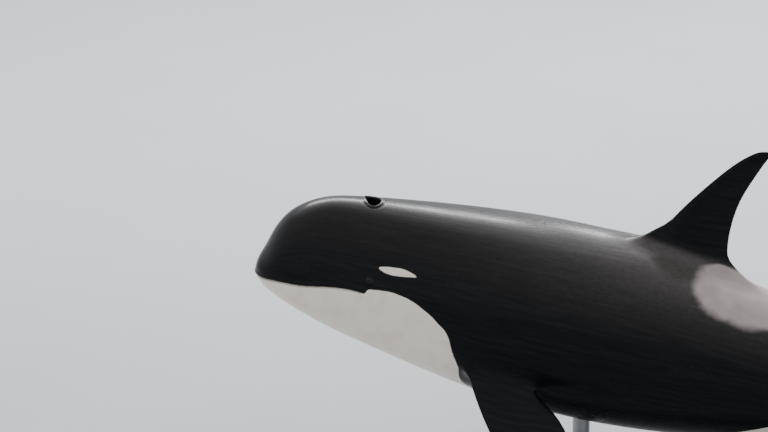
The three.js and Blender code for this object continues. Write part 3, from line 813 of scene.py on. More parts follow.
def sew_eyelids(side):
    """Sews a disc with one eye's lids into the skin. Side is 1 on the left and -1 on the right."""
    angle = 2 * math.pi * np.arange(LID_SIDES) / LID_SIDES
    point, normal, _ = eye_axis(side)
    radius = metres_per_radian(EYE_STATION, side * EYE_GIRTH)
    slit_x = SLIT_LENGTH / 2 * np.cos(angle)
    slit_y = SLIT_HEIGHT / 2 * np.sin(angle) * (1 - SLIT_POINTED * np.cos(angle) ** 2)
    slit_y += SLIT_TILT * np.cos(angle)
    rim_x, rim_y = LID_REACH * np.cos(angle), LID_REACH * np.sin(angle)
    fullness = LID_CORNERS + (1 - LID_CORNERS) * np.abs(np.sin(angle))
    fold_depth = LID_FOLD * fullness * np.maximum(LOWER_FOLD, -np.sin(angle))

    def ring(x, y, t, over=None):
        share, girth = EYE_STATION + x / LENGTH, side * (EYE_GIRTH + y / radius)
        base, _ = skin(share, girth)
        rise = (base - shift - point) @ normal
        if over is None:
            edge_rise = ball_rise(slit_x, slit_y) + LID_THICKNESS
            lift = (edge_rise - rise) * (1 - smooth(0, LID_RISES, t))
            lift += LID_ROLL * fullness * hump(t - LID_ROLL_AT, LID_ROLL_WIDTH)
            lift -= fold_depth * hump(t - LID_FOLD_AT, LID_FOLD_WIDTH)
        else:
            lift = ball_rise(x, y) + over - rise
        bare = LID_BARE * hump(t, LID_BARE_WIDTH)
        return base + normal * lift[:, None] * (1 if t < 1 else 0), share, girth, bare

    rows = [ring(slit_x + (rim_x - slit_x) * t, slit_y + (rim_y - slit_y) * t, t)
            for t in (1 - np.arange(LID_ROWS) / (LID_ROWS - 1)) ** LID_CROWDING]
    rows += [ring(slit_x * part, slit_y * part, 0, over) for part, over in TUCKED]
    sew_disc(rows, EYE_STATION, side * EYE_GIRTH, normal, MIDDLE_SUNK, True)


for side in (1, -1):
    sew_eyelids(side)
print("eye slit %.0f by %.0f mm" % (SLIT_LENGTH * 1000, SLIT_HEIGHT * 1000))

# %% [markdown]
# ## The blowhole
#
# In the photograph the blowhole stands open, as it does when the animal breathes out at the surface. It
# is a pit with a straight front edge on each side and a round rear one, with a pale raised lip. A disc
# of finer skin is sewn in on the ridge of the head, and its middle is drawn down into the pit.

# %% Blowhole
HOLE_STATION = 0.1112
HOLE_OUTLINE = [  # metres behind the station, and to the left of the ridge
    (-0.052, -0.070), (-0.044, 0.000), (-0.028, 0.068), (-0.004, 0.088), (0.027, 0.074), (0.046, 0.020),
    (0.040, -0.034), (0.000, -0.070), (-0.034, -0.084),
]
HOLE_SIDES, HOLE_ROWS, HOLE_REACH, HOLE_CROWDING = 64, 10, (0.095, 0.130), 1.3
HOLE_LIP, HOLE_LIP_AT, HOLE_LIP_WIDTH = 0.0055, 0.14, 0.20  # metres, then shares of the way to the rim
HOLE_DISH, HOLE_DISH_AT, HOLE_DISH_WIDTH = 0.0012, 0.55, 0.22
HOLE_BARE_AT, HOLE_BARE_WIDTH, PIT_SUNK = 0.05, 0.16, 0.001
PIT = [  # share of the outline, and metres down
    (0.97, 0.007), (0.93, 0.018), (0.90, 0.034), (0.86, 0.052), (0.80, 0.070), (0.62, 0.085), (0.35, 0.090),
]


def sew_blowhole():
    """Sews a disc with the open blowhole into the ridge of the head."""
    angle = 2 * math.pi * np.arange(HOLE_SIDES) / HOLE_SIDES
    radius = metres_per_radian(HOLE_STATION, 0.0)
    outline = closed_curve(HOLE_OUTLINE)
    turns, reaches = np.arctan2(outline[:, 1], outline[:, 0]), np.hypot(outline[:, 0], outline[:, 1])
    order = np.argsort(turns)
    reach = np.interp(angle, turns[order], reaches[order], period=2 * math.pi)
    hole_x, hole_y = reach * np.cos(angle), reach * np.sin(angle)
    rim_x, rim_y = HOLE_REACH[0] * np.cos(angle), HOLE_REACH[1] * np.sin(angle)
    upright = lean(np.array(HOLE_STATION), np.array(0.0))[0]

    def ring(x, y, lift, bare):
        share, girth = HOLE_STATION + x / LENGTH, y / radius
        return skin(share, girth)[0] + upright * lift, share, girth, bare

    rows = []
    for t in (1 - np.arange(HOLE_ROWS) / (HOLE_ROWS - 1)) ** HOLE_CROWDING:
        lift = HOLE_LIP * hump(t - HOLE_LIP_AT, HOLE_LIP_WIDTH)
        lift -= HOLE_DISH * hump(t - HOLE_DISH_AT, HOLE_DISH_WIDTH)
        rows.append(ring(hole_x + (rim_x - hole_x) * t, hole_y + (rim_y - hole_y) * t,
                         lift if t < 1 else 0, hump(t - HOLE_BARE_AT, HOLE_BARE_WIDTH)))
    rows += [ring(hole_x * part, hole_y * part, -down, 0) for part, down in PIT]
    sew_disc(rows, HOLE_STATION, 0.0, upright, PIT_SUNK, False)


sew_blowhole()
print("blowhole %.0f mm wide" % (1000 * np.ptp([y for x, y in HOLE_OUTLINE])))

# %% [markdown]
# ## One skin
#
# Now the grid's faces are stored, the seams are filled, and all of it becomes one closed mesh. The
# distances go in as attributes, which the material reads, and the flat map as a UV layer.

# %% Build the skin
EASE_REACH, EASE_ROUNDS, EASE_STEP = (0.030, 0.130), 60, 0.6  # metres from a fin's foot, rounds, pull
TAIL_TIP_MAP = (0.996, MAP_BODY_HEIGHT / 2)
SAME_PLACE = 1e-6  # metres


def store_body_faces():
    """Stores the grid's faces that nothing has cut away, and closes the tail's end."""
    rings, lines = kept_face.shape
    i, j = np.nonzero(kept_face)
    corner_rings = np.stack([i, i, i + 1, i + 1], -1)
    corner_lines = np.stack([j, j + 1, j + 1, j], -1)
    numbers = grid_index(corner_rings, corner_lines)
    around = grid_girth[corner_rings, corner_lines % lines]
    around = np.where(corner_lines == lines, math.pi, around)
    maps = body_map(grid_share[corner_rings, 0], around)
    tips = i == 0
    store_faces(numbers[tips][:, [0, 2, 3]], maps[tips][:, [0, 2, 3]])
    store_faces(numbers[~tips], maps[~tips])
    end = np.arange(lines)
    tail_tip = store_points(grid_place[-1].mean(0)[None], 1.0, 0.0)
    fan = np.stack([grid_index(rings, end), grid_index(rings, end + 1), np.full(lines, tail_tip)], -1)
    store_faces(fan, np.broadcast_to(TAIL_TIP_MAP, (lines, 3, 2)))


store_body_faces()
fill_seams()
skin_points = np.concatenate(points)


def ease_joins():
    """Relaxes the points near the feet of the fins, so that each fin flows into the body."""
    edges = set()
    for face in faces:
        for a, b in zip(face, face[1:] + face[:1]):
            edges.add((a, b) if a < b else (b, a))
    a, b = np.array(sorted(edges)).T
    neighbours = np.bincount(np.concatenate([a, b]), minlength=len(skin_points))
    ease = np.zeros(len(skin_points))
    for first in fin_feet:
        foot = skin_points[first:first + FIN_SIDES]
        tree = KDTree(FIN_SIDES)
        for number, place in enumerate(foot):
            tree.insert(place, number)
        tree.balance()
        near = (skin_points > foot.min(0) - EASE_REACH[1]) & (skin_points < foot.max(0) + EASE_REACH[1])
        for number in np.nonzero(near.all(1))[0]:
            distance = tree.find(skin_points[number])[2]
            ease[number] = max(ease[number], 1 - float(smooth(*EASE_REACH, distance)))
    for _ in range(EASE_ROUNDS):
        total = np.zeros_like(skin_points)
        np.add.at(total, a, skin_points[b])
        np.add.at(total, b, skin_points[a])
        middle = total / np.maximum(1, neighbours)[:, None]
        skin_points[:] += EASE_STEP * ease[:, None] * (middle - skin_points)
    print("points eased:", np.count_nonzero(ease))


ease_joins()


def mesh_object(name, vertices, polygons):
    """Adds a mesh object of that name to the scene."""
    mesh = bpy.data.meshes.new(name)
    mesh.from_pydata(vertices, [], polygons)
    made = bpy.data.objects.new(name, mesh)
    bpy.context.scene.collection.objects.link(made)
    return made


def clean(mesh):
    """Joins points in one place, drops loose ones, turns the faces outwards and shades them smooth."""
    work = bmesh.new()
    work.from_mesh(mesh)
    bmesh.ops.remove_doubles(work, verts=work.verts, dist=SAME_PLACE)
    bmesh.ops.delete(work, geom=[point for point in work.verts if not point.link_faces], context="VERTS")
    open_edges = sum(len(edge.link_faces) != 2 for edge in work.edges)
    bmesh.ops.recalc_face_normals(work, faces=work.faces)
    work.to_mesh(mesh)
    work.free()
    mesh.shade_smooth()
    return open_edges


def build_skin():
    """Makes the one skin, with its measures as attributes and its baking map."""
    made = mesh_object("orca_skin", skin_points, faces)
    mesh = made.data
    for name, lots in measures.items():
        values = np.concatenate(lots).astype(np.float32)
        mesh.attributes.new(name, "FLOAT", "POINT").data.foreach_set("value", values)
    flat = np.concatenate(lay).astype(np.float32)
    mesh.attributes.new("lay", "FLOAT_VECTOR", "POINT").data.foreach_set("vector", flat.ravel())
    layer = mesh.uv_layers.new(name="OFBake")
    layer.data.foreach_set("uv", np.concatenate(face_maps).astype(np.float32).ravel())
    open_edges = clean(mesh)
    triangles = sum(len(p.vertices) - 2 for p in mesh.polygons)
    print("skin:", len(mesh.vertices), "points,", triangles, "triangles,", open_edges, "open edges")
    return made


orca_skin = build_skin()
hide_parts("head", "lower_jaw", "trunk_front", "trunk_rear", "tail_stock", "dorsal_fin",
            "flipper_left", "flipper_right", "fluke_left", "fluke_right")
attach(orca_skin, "root")

# %% [markdown]
# ## Tools for materials
#
# A material is a network of nodes. Small helpers keep it readable: they make a node, set its options and
# fill its inputs with numbers or with the outputs of other nodes.

# %% Node helpers
def fill(tree, node, inputs):
    """Fills inputs, given by name or number, with values or with the outputs of other nodes."""
    for key, value in inputs.items():
        if isinstance(value, bpy.types.NodeSocket):
            tree.links.new(value, node.inputs[key])
        else:
            node.inputs[key].default_value = value
    return node


def add(tree, kind, inputs=None, **settings):
    """Adds a shader node with its options and inputs."""
    node = tree.nodes.new("ShaderNode" + kind)
    for key, value in settings.items():
        setattr(node, key, value)
    return fill(tree, node, inputs or {})


def use(tree, group, **inputs):
    """Places a shared effect in a material and returns its outputs."""
    node = add(tree, "Group", node_tree=group)
    return fill(tree, node, {key.capitalize(): value for key, value in inputs.items()}).outputs


def calculate(tree, operation, *values, clamp=False):
    """The result of a sum, product or comparison."""
    return add(tree, "Math", dict(enumerate(values)), operation=operation, use_clamp=clamp).outputs[0]


def blend_colours(tree, share, first, second):
    """The first colour at share 0 and the second at 1."""
    return add(tree, "Mix", {0: share, 6: first, 7: second}, data_type="RGBA").outputs[2]


def noise(tree, place, fineness, detail, **more):
    """Soft noise between 0 and 1."""
    inputs = {"Vector": place, "Scale": fineness, "Detail": detail, **more}
    return add(tree, "TexNoise", inputs).outputs[0]


def rescale(tree, value, seen, wanted, **settings):
    """Takes the span that a value is seen in to the span that is wanted."""
    ends = dict(zip(("From Min", "From Max", "To Min", "To Max"), (*seen, *wanted)))
    return add(tree, "MapRange", {"Value": value, **ends}, **settings).outputs[0]


def new_material(name):
    """An empty material: itself, its node tree, its Principled shader and the place in the room."""
    material = bpy.data.materials.new(name)
    material.use_nodes = True
    tree = material.node_tree
    return material, tree, tree.nodes["Principled BSDF"], add(tree, "TexCoord").outputs["Object"]


def finish(tree, shader, strength, height, inputs):
    """Gives the shader a bump of a height in metres, and the rest of its inputs."""
    bump = add(tree, "Bump", {"Strength": strength, "Distance": 1.0, "Height": height})
    fill(tree, shader, {"Normal": bump.outputs[0], **inputs})


def new_group(name, inputs, outputs):
    """A shader node group with named number, colour or vector sockets."""
    group = bpy.data.node_groups.new(name, "ShaderNodeTree")
    kinds = {"number": "NodeSocketFloat", "colour": "NodeSocketColor", "vector": "NodeSocketVector"}
    for socket, kind, value in inputs:
        made = group.interface.new_socket(socket, in_out="INPUT", socket_type=kinds[kind])
        if value is not None:
            made.default_value = value
    for socket, kind in outputs:
        group.interface.new_socket(socket, in_out="OUTPUT", socket_type=kinds[kind])
    return group, group.nodes.new("NodeGroupInput").outputs, group.nodes.new("NodeGroupOutput").inputs


# %% [markdown]
# ## Effects that several finishes share
#
# Three effects come back. Streaks are noise drawn out along one direction: water film on the skin, and
# brushing on the rods. Grain is fine noise: pores, and the paint's texture. A broken edge turns a
# distance into a mask whose border wavers a little, as no border on skin or worn paint is ruled.

# %% Shared effects
def make_streaks():
    """Noise drawn out along the directions with a small stretch."""
    group, given, out = new_group(
        "streaks",
        [("Place", "vector", None), ("Stretch", "vector", (1, 1, 1)), ("Fineness", "number", 10.0)],
        [("Streaks", "number")],
    )
    stretched = add(group, "VectorMath", {0: given["Place"], 1: given["Stretch"]}, operation="MULTIPLY")
    group.links.new(noise(group, stretched.outputs[0], given["Fineness"], 5.0, Roughness=0.6), out["Streaks"])
    return group


def make_grain():
    """Fine noise, and the height of a bump made from it."""
    group, given, out = new_group(
        "grain",
        [("Place", "vector", None), ("Fineness", "number", 100.0), ("Depth", "number", 0.001)],
        [("Grain", "number"), ("Height", "number")],
    )
    grain = noise(group, given["Place"], given["Fineness"], 3.0, Roughness=0.65)
    group.links.new(grain, out["Grain"])
    group.links.new(calculate(group, "MULTIPLY", grain, given["Depth"]), out["Height"])
    return group


def make_broken_edge():
    """A mask that is 1 where the depth is positive, with a soft and wavering border."""
    group, given, out = new_group(
        "broken_edge",
        [("Place", "vector", None), ("Depth", "number", 0.0), ("Softness", "number", 0.004),
         ("Waver", "number", 0.003), ("Fineness", "number", 30.0)],
        [("Mask", "number")],
    )
    centred = calculate(group, "SUBTRACT", noise(group, given["Place"], given["Fineness"], 3.0), 0.5)
    wavering = calculate(group, "MULTIPLY_ADD", centred, given["Waver"], given["Depth"])
    below = calculate(group, "MULTIPLY", given["Softness"], -1.0)
    ramp = rescale(group, wavering, (below, given["Softness"]), (0.0, 1.0), interpolation_type="SMOOTHSTEP")
    group.links.new(ramp, out["Mask"])
    return group


STREAKS, GRAIN, BROKEN_EDGE = make_streaks(), make_grain(), make_broken_edge()
print("shared effects:", ", ".join(g.name for g in (STREAKS, GRAIN, BROKEN_EDGE)))

# %% [markdown]
# ## Wet skin
#
# Orca skin is smooth and rubbery. Wet, it is nearly black with a soft sheen. Part of that sheen is painted
# in as a brown-grey colour on the back, most at the fin's foot and little on the head, which stays bluer.
# The cream is never pure white: it has faint warm blotches and a few dark specks. Old scratches show as
# hair-thin grey lines. The rest of the gloss is left to the shader and the lights.

# %% Skin material
# The second colour is a painted sheen: the grey-brown gleam of the back, laid in as colour.
BLACK, SHEEN_BROWN = (0.0022, 0.0023, 0.0028, 1), (0.072, 0.062, 0.060, 1)
CREAM, CREAM_WARM = (0.86, 0.79, 0.69, 1), (0.80, 0.70, 0.59, 1)
SADDLE_GREY = (0.430, 0.355, 0.340, 1)
LIP_GREY = (0.070, 0.068, 0.072, 1)
SCRATCH_GREY = (0.075, 0.070, 0.070, 1)
SPECK = (0.12, 0.10, 0.09, 1)
SCRATCH_LEVEL, SCRATCH_WIDTH = 0.47, 0.0022  # a scratch is drawn where the streaks come close to this level
SPECKLED = 0.14  # share of the cells in the cream that hold a speck


def make_skin_material():
    """Black, grey and cream wet skin with a painted brown-grey sheen, laid over each other by their masks."""
    material, tree, shader, place = new_material("wet_skin")
    flat = add(tree, "Attribute", attribute_name="lay").outputs["Vector"]

    def attribute(name):
        return add(tree, "Attribute", attribute_name=name).outputs["Fac"]

    def streaks(where, fineness, *stretch):
        return use(tree, STREAKS, place=where, stretch=stretch, fineness=fineness)["Streaks"]

    def both(first, second):
        return calculate(tree, "MULTIPLY", first, second)

    # Painted sheen: the back's grey-brown gleam, as a colour over the black, a little uneven.
    dapple = rescale(tree, streaks(place, 30.0, 1.0, 1.6, 1.6), (0.3, 0.7), (0.78, 1.22), clamp=False)
    painted_sheen = calculate(tree, "MULTIPLY", attribute("painted_sheen_amount"), dapple, clamp=True)
    dark = blend_colours(tree, painted_sheen, BLACK, SHEEN_BROWN)

    off_line = calculate(tree, "SUBTRACT", streaks(flat, 1.6, 1.0, 9.0, 1.0), SCRATCH_LEVEL)
    hair_line = rescale(tree, calculate(tree, "ABSOLUTE", off_line), (0.0, SCRATCH_WIDTH), (1.0, 0.0))
    here_and_there = rescale(tree, noise(tree, place, 1.7, 2.0), (0.52, 0.66), (0.0, 1.0))
    dark = blend_colours(tree, both(both(hair_line, here_and_there), 0.55), dark, SCRATCH_GREY)

    mottle = noise(tree, place, 9.0, 4.0)
    grey = use(tree, BROKEN_EDGE, place=place, depth=attribute("saddle_depth"), softness=0.040,
               waver=0.09, fineness=6.0)["Mask"]
    dark = blend_colours(tree, both(grey, rescale(tree, mottle, (0.3, 0.75), (0.75, 1.0))), dark, SADDLE_GREY)
    lip = calculate(tree, "MULTIPLY", attribute("bareness"), 0.9, clamp=True)
    dark = blend_colours(tree, lip, dark, LIP_GREY)

    pale = blend_colours(tree, rescale(tree, mottle, (0.45, 0.7), (0.0, 1.0)), CREAM, CREAM_WARM)
    cells = add(tree, "TexVoronoi", {"Vector": place, "Scale": 42.0}).outputs
    dot = rescale(tree, cells["Distance"], (0.05, 0.12), (1.0, 0.0))
    drawn = add(tree, "SeparateColor", {0: cells["Color"]}).outputs[0]
    chosen = calculate(tree, "GREATER_THAN", drawn, 1 - SPECKLED)
    pale = blend_colours(tree, both(dot, both(chosen, 0.6)), pale, SPECK)

    cream = use(tree, BROKEN_EDGE, place=place, depth=attribute("cream_depth"), softness=0.0035,
                waver=0.006, fineness=28.0)["Mask"]
    film = streaks(flat, 13.0, 0.35, 3.0, 1.0)
    pores = use(tree, GRAIN, place=place, fineness=240.0, depth=0.00035)["Height"]
    height = calculate(tree, "MULTIPLY_ADD", streaks(flat, 26.0, 0.5, 1.0, 1.0), 0.0005, pores)
    height = calculate(tree, "MULTIPLY_ADD", film, 0.0005, height)
    finish(tree, shader, 0.5, height, {
        "Base Color": blend_colours(tree, cream, dark, pale),
        "Roughness": rescale(tree, film, (0.3, 0.7), (0.25, 0.31)),
        "Specular IOR Level": 0.12,
        "Coat Weight": rescale(tree, streaks(flat, 11.0, 0.3, 3.5, 1.0), (0.42, 0.66), (0.0, 0.22)),
        "Coat Roughness": 0.12,
        "Coat IOR": 1.33,
    })
    return material


orca_skin.data.materials.append(make_skin_material())
print("skin material ready")

# %% [markdown]
# ## Eyeballs
#
# An orca's eye is dark brown with a slight bulge at the cornea. Little of it shows between the lids, but
# its gleam makes the animal look alive. Each ball is turned from a profile with the cornea's bulge, and
# keeps its distance from the gaze's axis as an attribute, from which the material draws pupil and iris.

# %% Eyeballs
BALL_RINGS, BALL_SIDES, BALL_INSET = 40, 48, 0.0006
CORNEA_ANGLE, CORNEA_BULGE = 0.62, 0.0022  # radians from the axis, metres
PUPIL, IRIS = 0.30, 0.62  # radians from the axis
IRIS_BROWNS = (0.016, 0.008, 0.004, 1), (0.050, 0.026, 0.012, 1)
BALL_BROWNS = (0.012, 0.008, 0.007, 1), (0.030, 0.022, 0.020, 1)
PUPIL_BLACK = (0.002, 0.002, 0.003, 1)


def arc(start, end, steps):
    """Evenly spaced values from start to end."""
    return [start + (end - start) * i / steps for i in range(steps + 1)]


def make_eyeball(name, side):
    """Turns an eyeball from its profile, looking out along its eye's axis."""
    _, normal, centre = eye_axis(side)
    gaze = Vector(normal)
    tilt = gaze.to_track_quat("Z", "Y").to_matrix()
    middle = Vector(centre + shift) - gaze * CORNEA_BULGE
    vertices, angles = [], []
    for polar in arc(0, math.pi, BALL_RINGS):
        radius = EYE_RADIUS - BALL_INSET + CORNEA_BULGE * float(hump(polar, CORNEA_ANGLE))
        for turn in arc(0, 2 * math.pi, BALL_SIDES)[:-1]:
            across, along = radius * math.sin(polar), radius * math.cos(polar)
            vertices.append(tilt @ Vector((across * math.cos(turn), across * math.sin(turn), along)) + middle)
            angles.append(polar)
    ball = mesh_object(name, vertices, quads_between(BALL_RINGS + 1, BALL_SIDES))
    ball.data.attributes.new("off_axis", "FLOAT", "POINT").data.foreach_set("value", angles)
    clean(ball.data)
    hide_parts("eye_left" if side > 0 else "eye_right")
    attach(ball, "root")
    return ball


def make_eye_material():
    """A dark wet ball with its pupil and iris."""
    material, tree, shader, place = new_material("eye")
    off_axis = add(tree, "Attribute", attribute_name="off_axis").outputs["Fac"]

    def mask_within(angle, softness, waver):
        depth = calculate(tree, "SUBTRACT", angle, off_axis)
        return use(tree, BROKEN_EDGE, place=place, depth=depth, softness=softness, waver=waver,
                   fineness=300.0)["Mask"]

    fibres = use(tree, GRAIN, place=place, fineness=700.0, depth=0.0001)
    iris, white = (blend_colours(tree, fibres["Grain"], *shades) for shades in (IRIS_BROWNS, BALL_BROWNS))
    colour = blend_colours(tree, mask_within(IRIS, 0.04, 0.05), white, iris)
    finish(tree, shader, 0.15, fibres["Height"], {
        "Base Color": blend_colours(tree, mask_within(PUPIL, 0.03, 0.02), colour, PUPIL_BLACK),
        "Roughness": 0.20,
        "Specular IOR Level": 0.10,
        "Coat Weight": 0.5,
        "Coat Roughness": 0.03,
        "Coat IOR": 1.34,
    })
    return material


eye_material = make_eye_material()
for ball in (make_eyeball("eyeball_left", 1), make_eyeball("eyeball_right", -1)):
    ball.data.materials.append(eye_material)
print("eyeballs:", EYE_RADIUS * 2000, "mm across")

# %% [markdown]
# ## The stand
#
# A museum would carry such a model on a heavy plate with two steel posts. Every piece of it is a stack
# of closed loops with a flat end, so one helper makes them all. Corners that a workshop would roll or
# weld are quarter circles in steps, so that they catch a line of light.

# %% Stacks of loops
QUARTER_STEPS, ROLL_STEPS, FILLET_STEPS = 6, 4, 10
CREASE = math.radians(35)


def quarter(steps):
    """A quarter circle as pairs, from (1, 0) to (0, 1), drawn in towards its corner."""
    return [(1 - math.sin(turn), 1 - math.cos(turn)) for turn in arc(0, math.pi / 2, steps)]


def stack_faces(loops, count, first=0):
    """Faces of a stack of loops of count points each, closed at both ends."""
    last = first + (loops - 1) * count
    ends = [tuple(range(first, first + count))[::-1], tuple(range(last, last + count))]
    return quads_between(loops, count, first) + ends


def stack_of_loops(name, loops):
    """A closed mesh of loops with equal counts, laid one after the other."""
    vertices = [point for loop in loops for point in loop]
    made = mesh_object(name, vertices, stack_faces(len(loops), len(loops[0])))
    made.data.shade_smooth()
    made.data.set_sharp_from_angle(angle=CREASE)
    return made


print("quarter circle:", [(round(a, 2), round(b, 2)) for a, b in quarter(QUARTER_STEPS)])

# %% [markdown]
# ## The base plate
#
# The plate is a rounded rectangle of painted board or steel. Its upper edge is rolled over eight
# millimetres and its lower edge over four, by loops that step in and up along a quarter circle.

# %% Base plate
CORNER, CORNER_STEPS, EDGE_ROLL, FOOT_ROLL, FACE_INSET = 0.160, 14, 0.008, 0.004, 0.03
low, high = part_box("stand_base")


def plate_loop(inset, level):
    """A rounded rectangle, inset from the plate's outline, at a level."""
    loop = []
    corners = ((high.x, high.y, 0), (low.x, high.y, 90), (low.x, low.y, 180), (high.x, low.y, 270))
    radius = CORNER + EDGE_ROLL
    for x, y, start in corners:
        middle_x = x - math.copysign(radius, x - (low.x + high.x) / 2)
        middle_y = y - math.copysign(radius, y)
        for turn in arc(math.radians(start), math.radians(start + 90), CORNER_STEPS):
            loop.append((middle_x + (radius - inset) * math.cos(turn),
                         middle_y + (radius - inset) * math.sin(turn), level))
    return loop


levels = [(FACE_INSET, low.z)]
levels += [(FOOT_ROLL * wide, low.z + FOOT_ROLL * tall) for wide, tall in quarter(QUARTER_STEPS)]
levels += [(EDGE_ROLL * wide, high.z - EDGE_ROLL * tall) for tall, wide in quarter(QUARTER_STEPS)]
base_plate = stack_of_loops("base_plate", [plate_loop(*level) for level in levels + [(FACE_INSET, high.z)]])
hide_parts("stand_base")
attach(base_plate, "root")
print("plate %.2f by %.2f m" % (high.x - low.x, high.y - low.y))

# %% [markdown]
# ## Posts, pads and bolts
#
# A post is a turned shape: a flange with a rolled edge, a weld's fillet and the shaft. A rubber pad sits
# on its head and fits the belly, as rays cast up to the skin tell each of its points how high to stand.
# Six hexagon-headed bolts with washers hold each flange to the plate.

# %% Posts, pads and bolts
ROD_RADIUS, FLANGE_RADIUS, FLANGE_HEIGHT, ROD_FILLET = 0.055, 0.130, 0.022, 0.040
FLANGE_FOOT, FLANGE_ROLL, POST_SIDES = 0.002, 0.004, 72
PAD_RADIUS, PAD_HEIGHT, PAD_ROLL, PAD_PLAY, SKIN_CLEARANCE = 0.074, 0.030, 0.006, 0.0005, 0.0008
HEAD_IN_PAD = 0.6  # share of the pad's height, from the belly down, at which the post's head ends
BOLTS, BOLT_CIRCLE, BOLT_RADIUS, BOLT_HEIGHT, BOLT_CHAMFER = 6, 0.096, 0.012, 0.009, 0.0015
WASHER, WASHER_EDGE, WASHER_TOP, BOLT_TOP = 1.55, 0.0022, 0.0024, 0.86  # widths are shares of the radius
BOLT_POINTS, HEXAGON = 12, math.cos(math.pi / 6)  # every second point is the middle of a flat side
skin_tree = BVHTree.FromPolygons([v.co for v in orca_skin.data.vertices],
                                 [p.vertices for p in orca_skin.data.polygons])


def turned_loop(x, radius, level=None, depth=0.0):
    """A circle round a post, at a level, or else at a depth below the belly."""
    loop = []
    for turn in arc(0, 2 * math.pi, POST_SIDES)[:-1]:
        px, py = x + radius * math.cos(turn), radius * math.sin(turn)
        if level is None:
            belly = skin_tree.ray_cast(Vector((px, py, high.z)), Vector((0, 0, 1)))[0].z
        loop.append((px, py, belly - depth if level is None else level))
    return loop


def make_post(name, node):
    """A steel post with its flange, up into the pad."""
    node_low, node_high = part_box(node)
    x, floor = (node_low.x + node_high.x) / 2, node_low.z
    top = floor + FLANGE_HEIGHT
    profile = [(FLANGE_RADIUS * 0.5, floor), (FLANGE_RADIUS - FLANGE_FOOT, floor),
               (FLANGE_RADIUS, floor + FLANGE_FOOT)]
    profile += [(FLANGE_RADIUS - FLANGE_ROLL * wide, top - FLANGE_ROLL * tall)
                for tall, wide in quarter(ROLL_STEPS)]
    profile += [(ROD_RADIUS + ROD_FILLET * wide, top + ROD_FILLET * tall)
                for wide, tall in quarter(FILLET_STEPS)]
    loops = [turned_loop(x, *level) for level in profile]
    loops += [turned_loop(x, ROD_RADIUS * part, depth=PAD_HEIGHT * HEAD_IN_PAD) for part in (1, 0.5)]
    post = stack_of_loops(name, loops)
    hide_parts(node)
    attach(post, "root")
    return post, x, top


def make_pad(name, x):
    """A rubber pad round the post's head, shaped to the belly."""
    profile = [(ROD_RADIUS + PAD_PLAY, PAD_HEIGHT)]
    profile += [(PAD_RADIUS - PAD_ROLL * wide, PAD_HEIGHT - PAD_ROLL * tall)
                for wide, tall in quarter(ROLL_STEPS)]
    profile += [(PAD_RADIUS - PAD_ROLL * wide, SKIN_CLEARANCE + PAD_ROLL * tall)
                for tall, wide in quarter(ROLL_STEPS)]
    profile.append((ROD_RADIUS * 0.5, SKIN_CLEARANCE))
    pad = stack_of_loops(name, [turned_loop(x, radius, depth=depth) for radius, depth in profile])
    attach(pad, "root")
    return pad


def make_bolts(name, x, floor):
    """A ring of hexagon-headed bolts with washers on the flange, as one mesh."""
    profile = [(WASHER, 0.0), (WASHER, WASHER_EDGE), (1.0, WASHER_TOP), (1.0, BOLT_HEIGHT - BOLT_CHAMFER),
               (BOLT_TOP, BOLT_HEIGHT)]
    vertices, polygons = [], []
    for turn in (2 * math.pi * (k + 0.5) / BOLTS for k in range(BOLTS)):
        middle_x, middle_y = x + BOLT_CIRCLE * math.cos(turn), BOLT_CIRCLE * math.sin(turn)
        polygons += stack_faces(len(profile), BOLT_POINTS, len(vertices))
        for scale, level in profile:
            for corner in range(BOLT_POINTS):
                angle = 2 * math.pi * corner / BOLT_POINTS + turn
                reach = BOLT_RADIUS * scale * (1.0 if scale == WASHER or corner % 2 else HEXAGON)
                vertices.append((middle_x + reach * math.cos(angle), middle_y + reach * math.sin(angle),
                                 floor + level))
    bolts = mesh_object(name, vertices, polygons)
    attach(bolts, "root")
    return bolts


steel_pieces, pads = [], []
for end in ("front", "rear"):
    post, x, flange_top = make_post("post_" + end, "stand_rod_" + end)
    pads.append(make_pad("pad_" + end, x))
    steel_pieces += [post, make_bolts("bolts_" + end, x, flange_top)]
    print("post at x = %.2f m" % x)

# %% [markdown]
# ## Finishes of the stand
#
# The plate has a satin paint with the fine texture of a powder coat, a little uneven in its gloss. The
# posts are brushed steel: the brushing runs round them, and a noise drawn out in that direction varies
# their gloss. The pads are plain black rubber. All three go through the same few lines, with their own
# colours, spans of roughness and depth of grain.

# %% Stand materials
PAINT_GREYS, PAINT_FLECK = ((0.095, 0.100, 0.106, 1), (0.125, 0.130, 0.136, 1)), (0.2, 0.205, 0.21, 1)
STEEL_GREYS = (0.20, 0.205, 0.21, 1), (0.38, 0.385, 0.39, 1)
RUBBER_BLACKS = (0.012, 0.012, 0.013, 1), (0.035, 0.035, 0.036, 1)


def make_paint():
    """Satin grey paint with a fine grain."""
    material, tree, shader, place = new_material("stand_paint")
    grain = use(tree, GRAIN, place=place, fineness=420.0, depth=0.0005)
    cloud = noise(tree, place, 3.0, 4.0)
    base = blend_colours(tree, cloud, *PAINT_GREYS)
    fleck = calculate(tree, "MULTIPLY", grain["Grain"], 0.3)
    finish(tree, shader, 0.6, grain["Height"], {
        "Base Color": blend_colours(tree, fleck, base, PAINT_FLECK),
        "Roughness": rescale(tree, cloud, (0.0, 1.0), (0.42, 0.60)),
    })
    return material


def make_steel():
    """Steel that is brushed round the post."""
    material, tree, shader, place = new_material("brushed_steel")
    brushing = use(tree, STREAKS, place=place, stretch=(1.0, 1.0, 60.0), fineness=9.0)["Streaks"]
    finish(tree, shader, 0.2, calculate(tree, "MULTIPLY", brushing, 0.0004), {
        "Base Color": blend_colours(tree, brushing, *STEEL_GREYS),
        "Roughness": rescale(tree, brushing, (0.0, 1.0), (0.24, 0.46)),
        "Metallic": 1.0,
    })
    return material


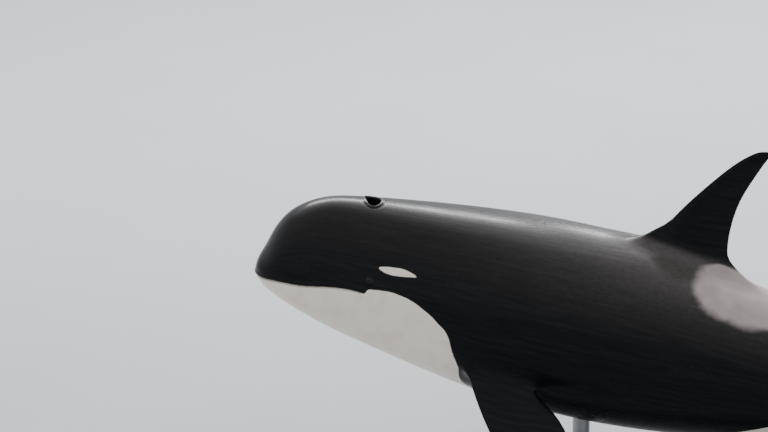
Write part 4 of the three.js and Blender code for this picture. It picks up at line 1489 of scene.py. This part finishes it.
def make_rubber():
    """Dull black rubber."""
    material, tree, shader, place = new_material("pad_rubber")
    grain = use(tree, GRAIN, place=place, fineness=160.0, depth=0.0006)
    finish(tree, shader, 0.6, grain["Height"], {
        "Base Color": blend_colours(tree, grain["Grain"], *RUBBER_BLACKS),
        "Roughness": rescale(tree, grain["Grain"], (0.0, 1.0), (0.62, 0.85)),
    })
    return material


for finish_of, pieces in ((make_paint(), [base_plate]), (make_steel(), steel_pieces), (make_rubber(), pads)):
    for piece in pieces:
        piece.data.materials.append(finish_of)
print("stand finished")

# %% [markdown]
# ## Floor
#
# The floor is plain and pale, a matt studio ground without an edge, so wide that it fills the picture.
# A faint cloudiness keeps it from looking like a flat fill.

# %% Floor
FLOOR_HALF = 150.0
FLOOR_GREYS = (0.50, 0.51, 0.52, 1), (0.56, 0.57, 0.58, 1)
corners = [(FLOOR_HALF * x, FLOOR_HALF * y, 0) for x, y in ((-1, -1), (1, -1), (1, 1), (-1, 1))]
floor_plane = mesh_object("floor", corners, [(0, 1, 2, 3)])
material, tree, shader, place = new_material("floor")
cloud = noise(tree, place, 0.8, 4.0)
fill(tree, shader, {"Base Color": blend_colours(tree, cloud, *FLOOR_GREYS), "Roughness": 0.75})
floor_plane.data.materials.append(material)
print("floor is", 2 * FLOOR_HALF, "m wide")

# %% [markdown]
# ## Light
#
# The photograph has a bright, clouded sky: the back gleams, the flanks stay dark, and no shadow is hard.
# In the studio a wide panel overhead gives the soft light. A long one behind the animal lays the sheen
# along the back, and a low one behind its tail carries the sheen on to the fin. The pale surroundings
# fill the rest.

# %% Lights
TRUNK = Vector((-1.0, 0.0, 1.2))


def panel(name, place, size, power):
    """A soft rectangular light aimed at the trunk."""
    light = bpy.data.lights.new(name, "AREA")
    light.shape, light.size, light.size_y, light.energy = "RECTANGLE", *size, power
    made = bpy.data.objects.new(name, light)
    made.visible_camera = False
    bpy.context.scene.collection.objects.link(made)
    made.location = place
    made.rotation_mode = "QUATERNION"
    made.rotation_quaternion = (TRUNK - Vector(place)).to_track_quat("-Z", "Y")


panel("sky_overhead", (-1.0, 7.0, 10.0), (20, 7), 600)
panel("sky_behind", (-3.25, 11.0, 9.0), (8.5, 1.8), 1275)
panel("sky_low", (3.4, 12.0, 6.0), (4.6, 2.4), 520)
world = bpy.data.worlds.new("studio")
bpy.context.scene.world = world
world.use_nodes = True
fill(world.node_tree, world.node_tree.nodes["Background"], {"Color": (0.92, 0.96, 1.0, 1), "Strength": 1.0})
print("lights:", ", ".join(light.name for light in bpy.data.lights if light.name.startswith("sky_")))
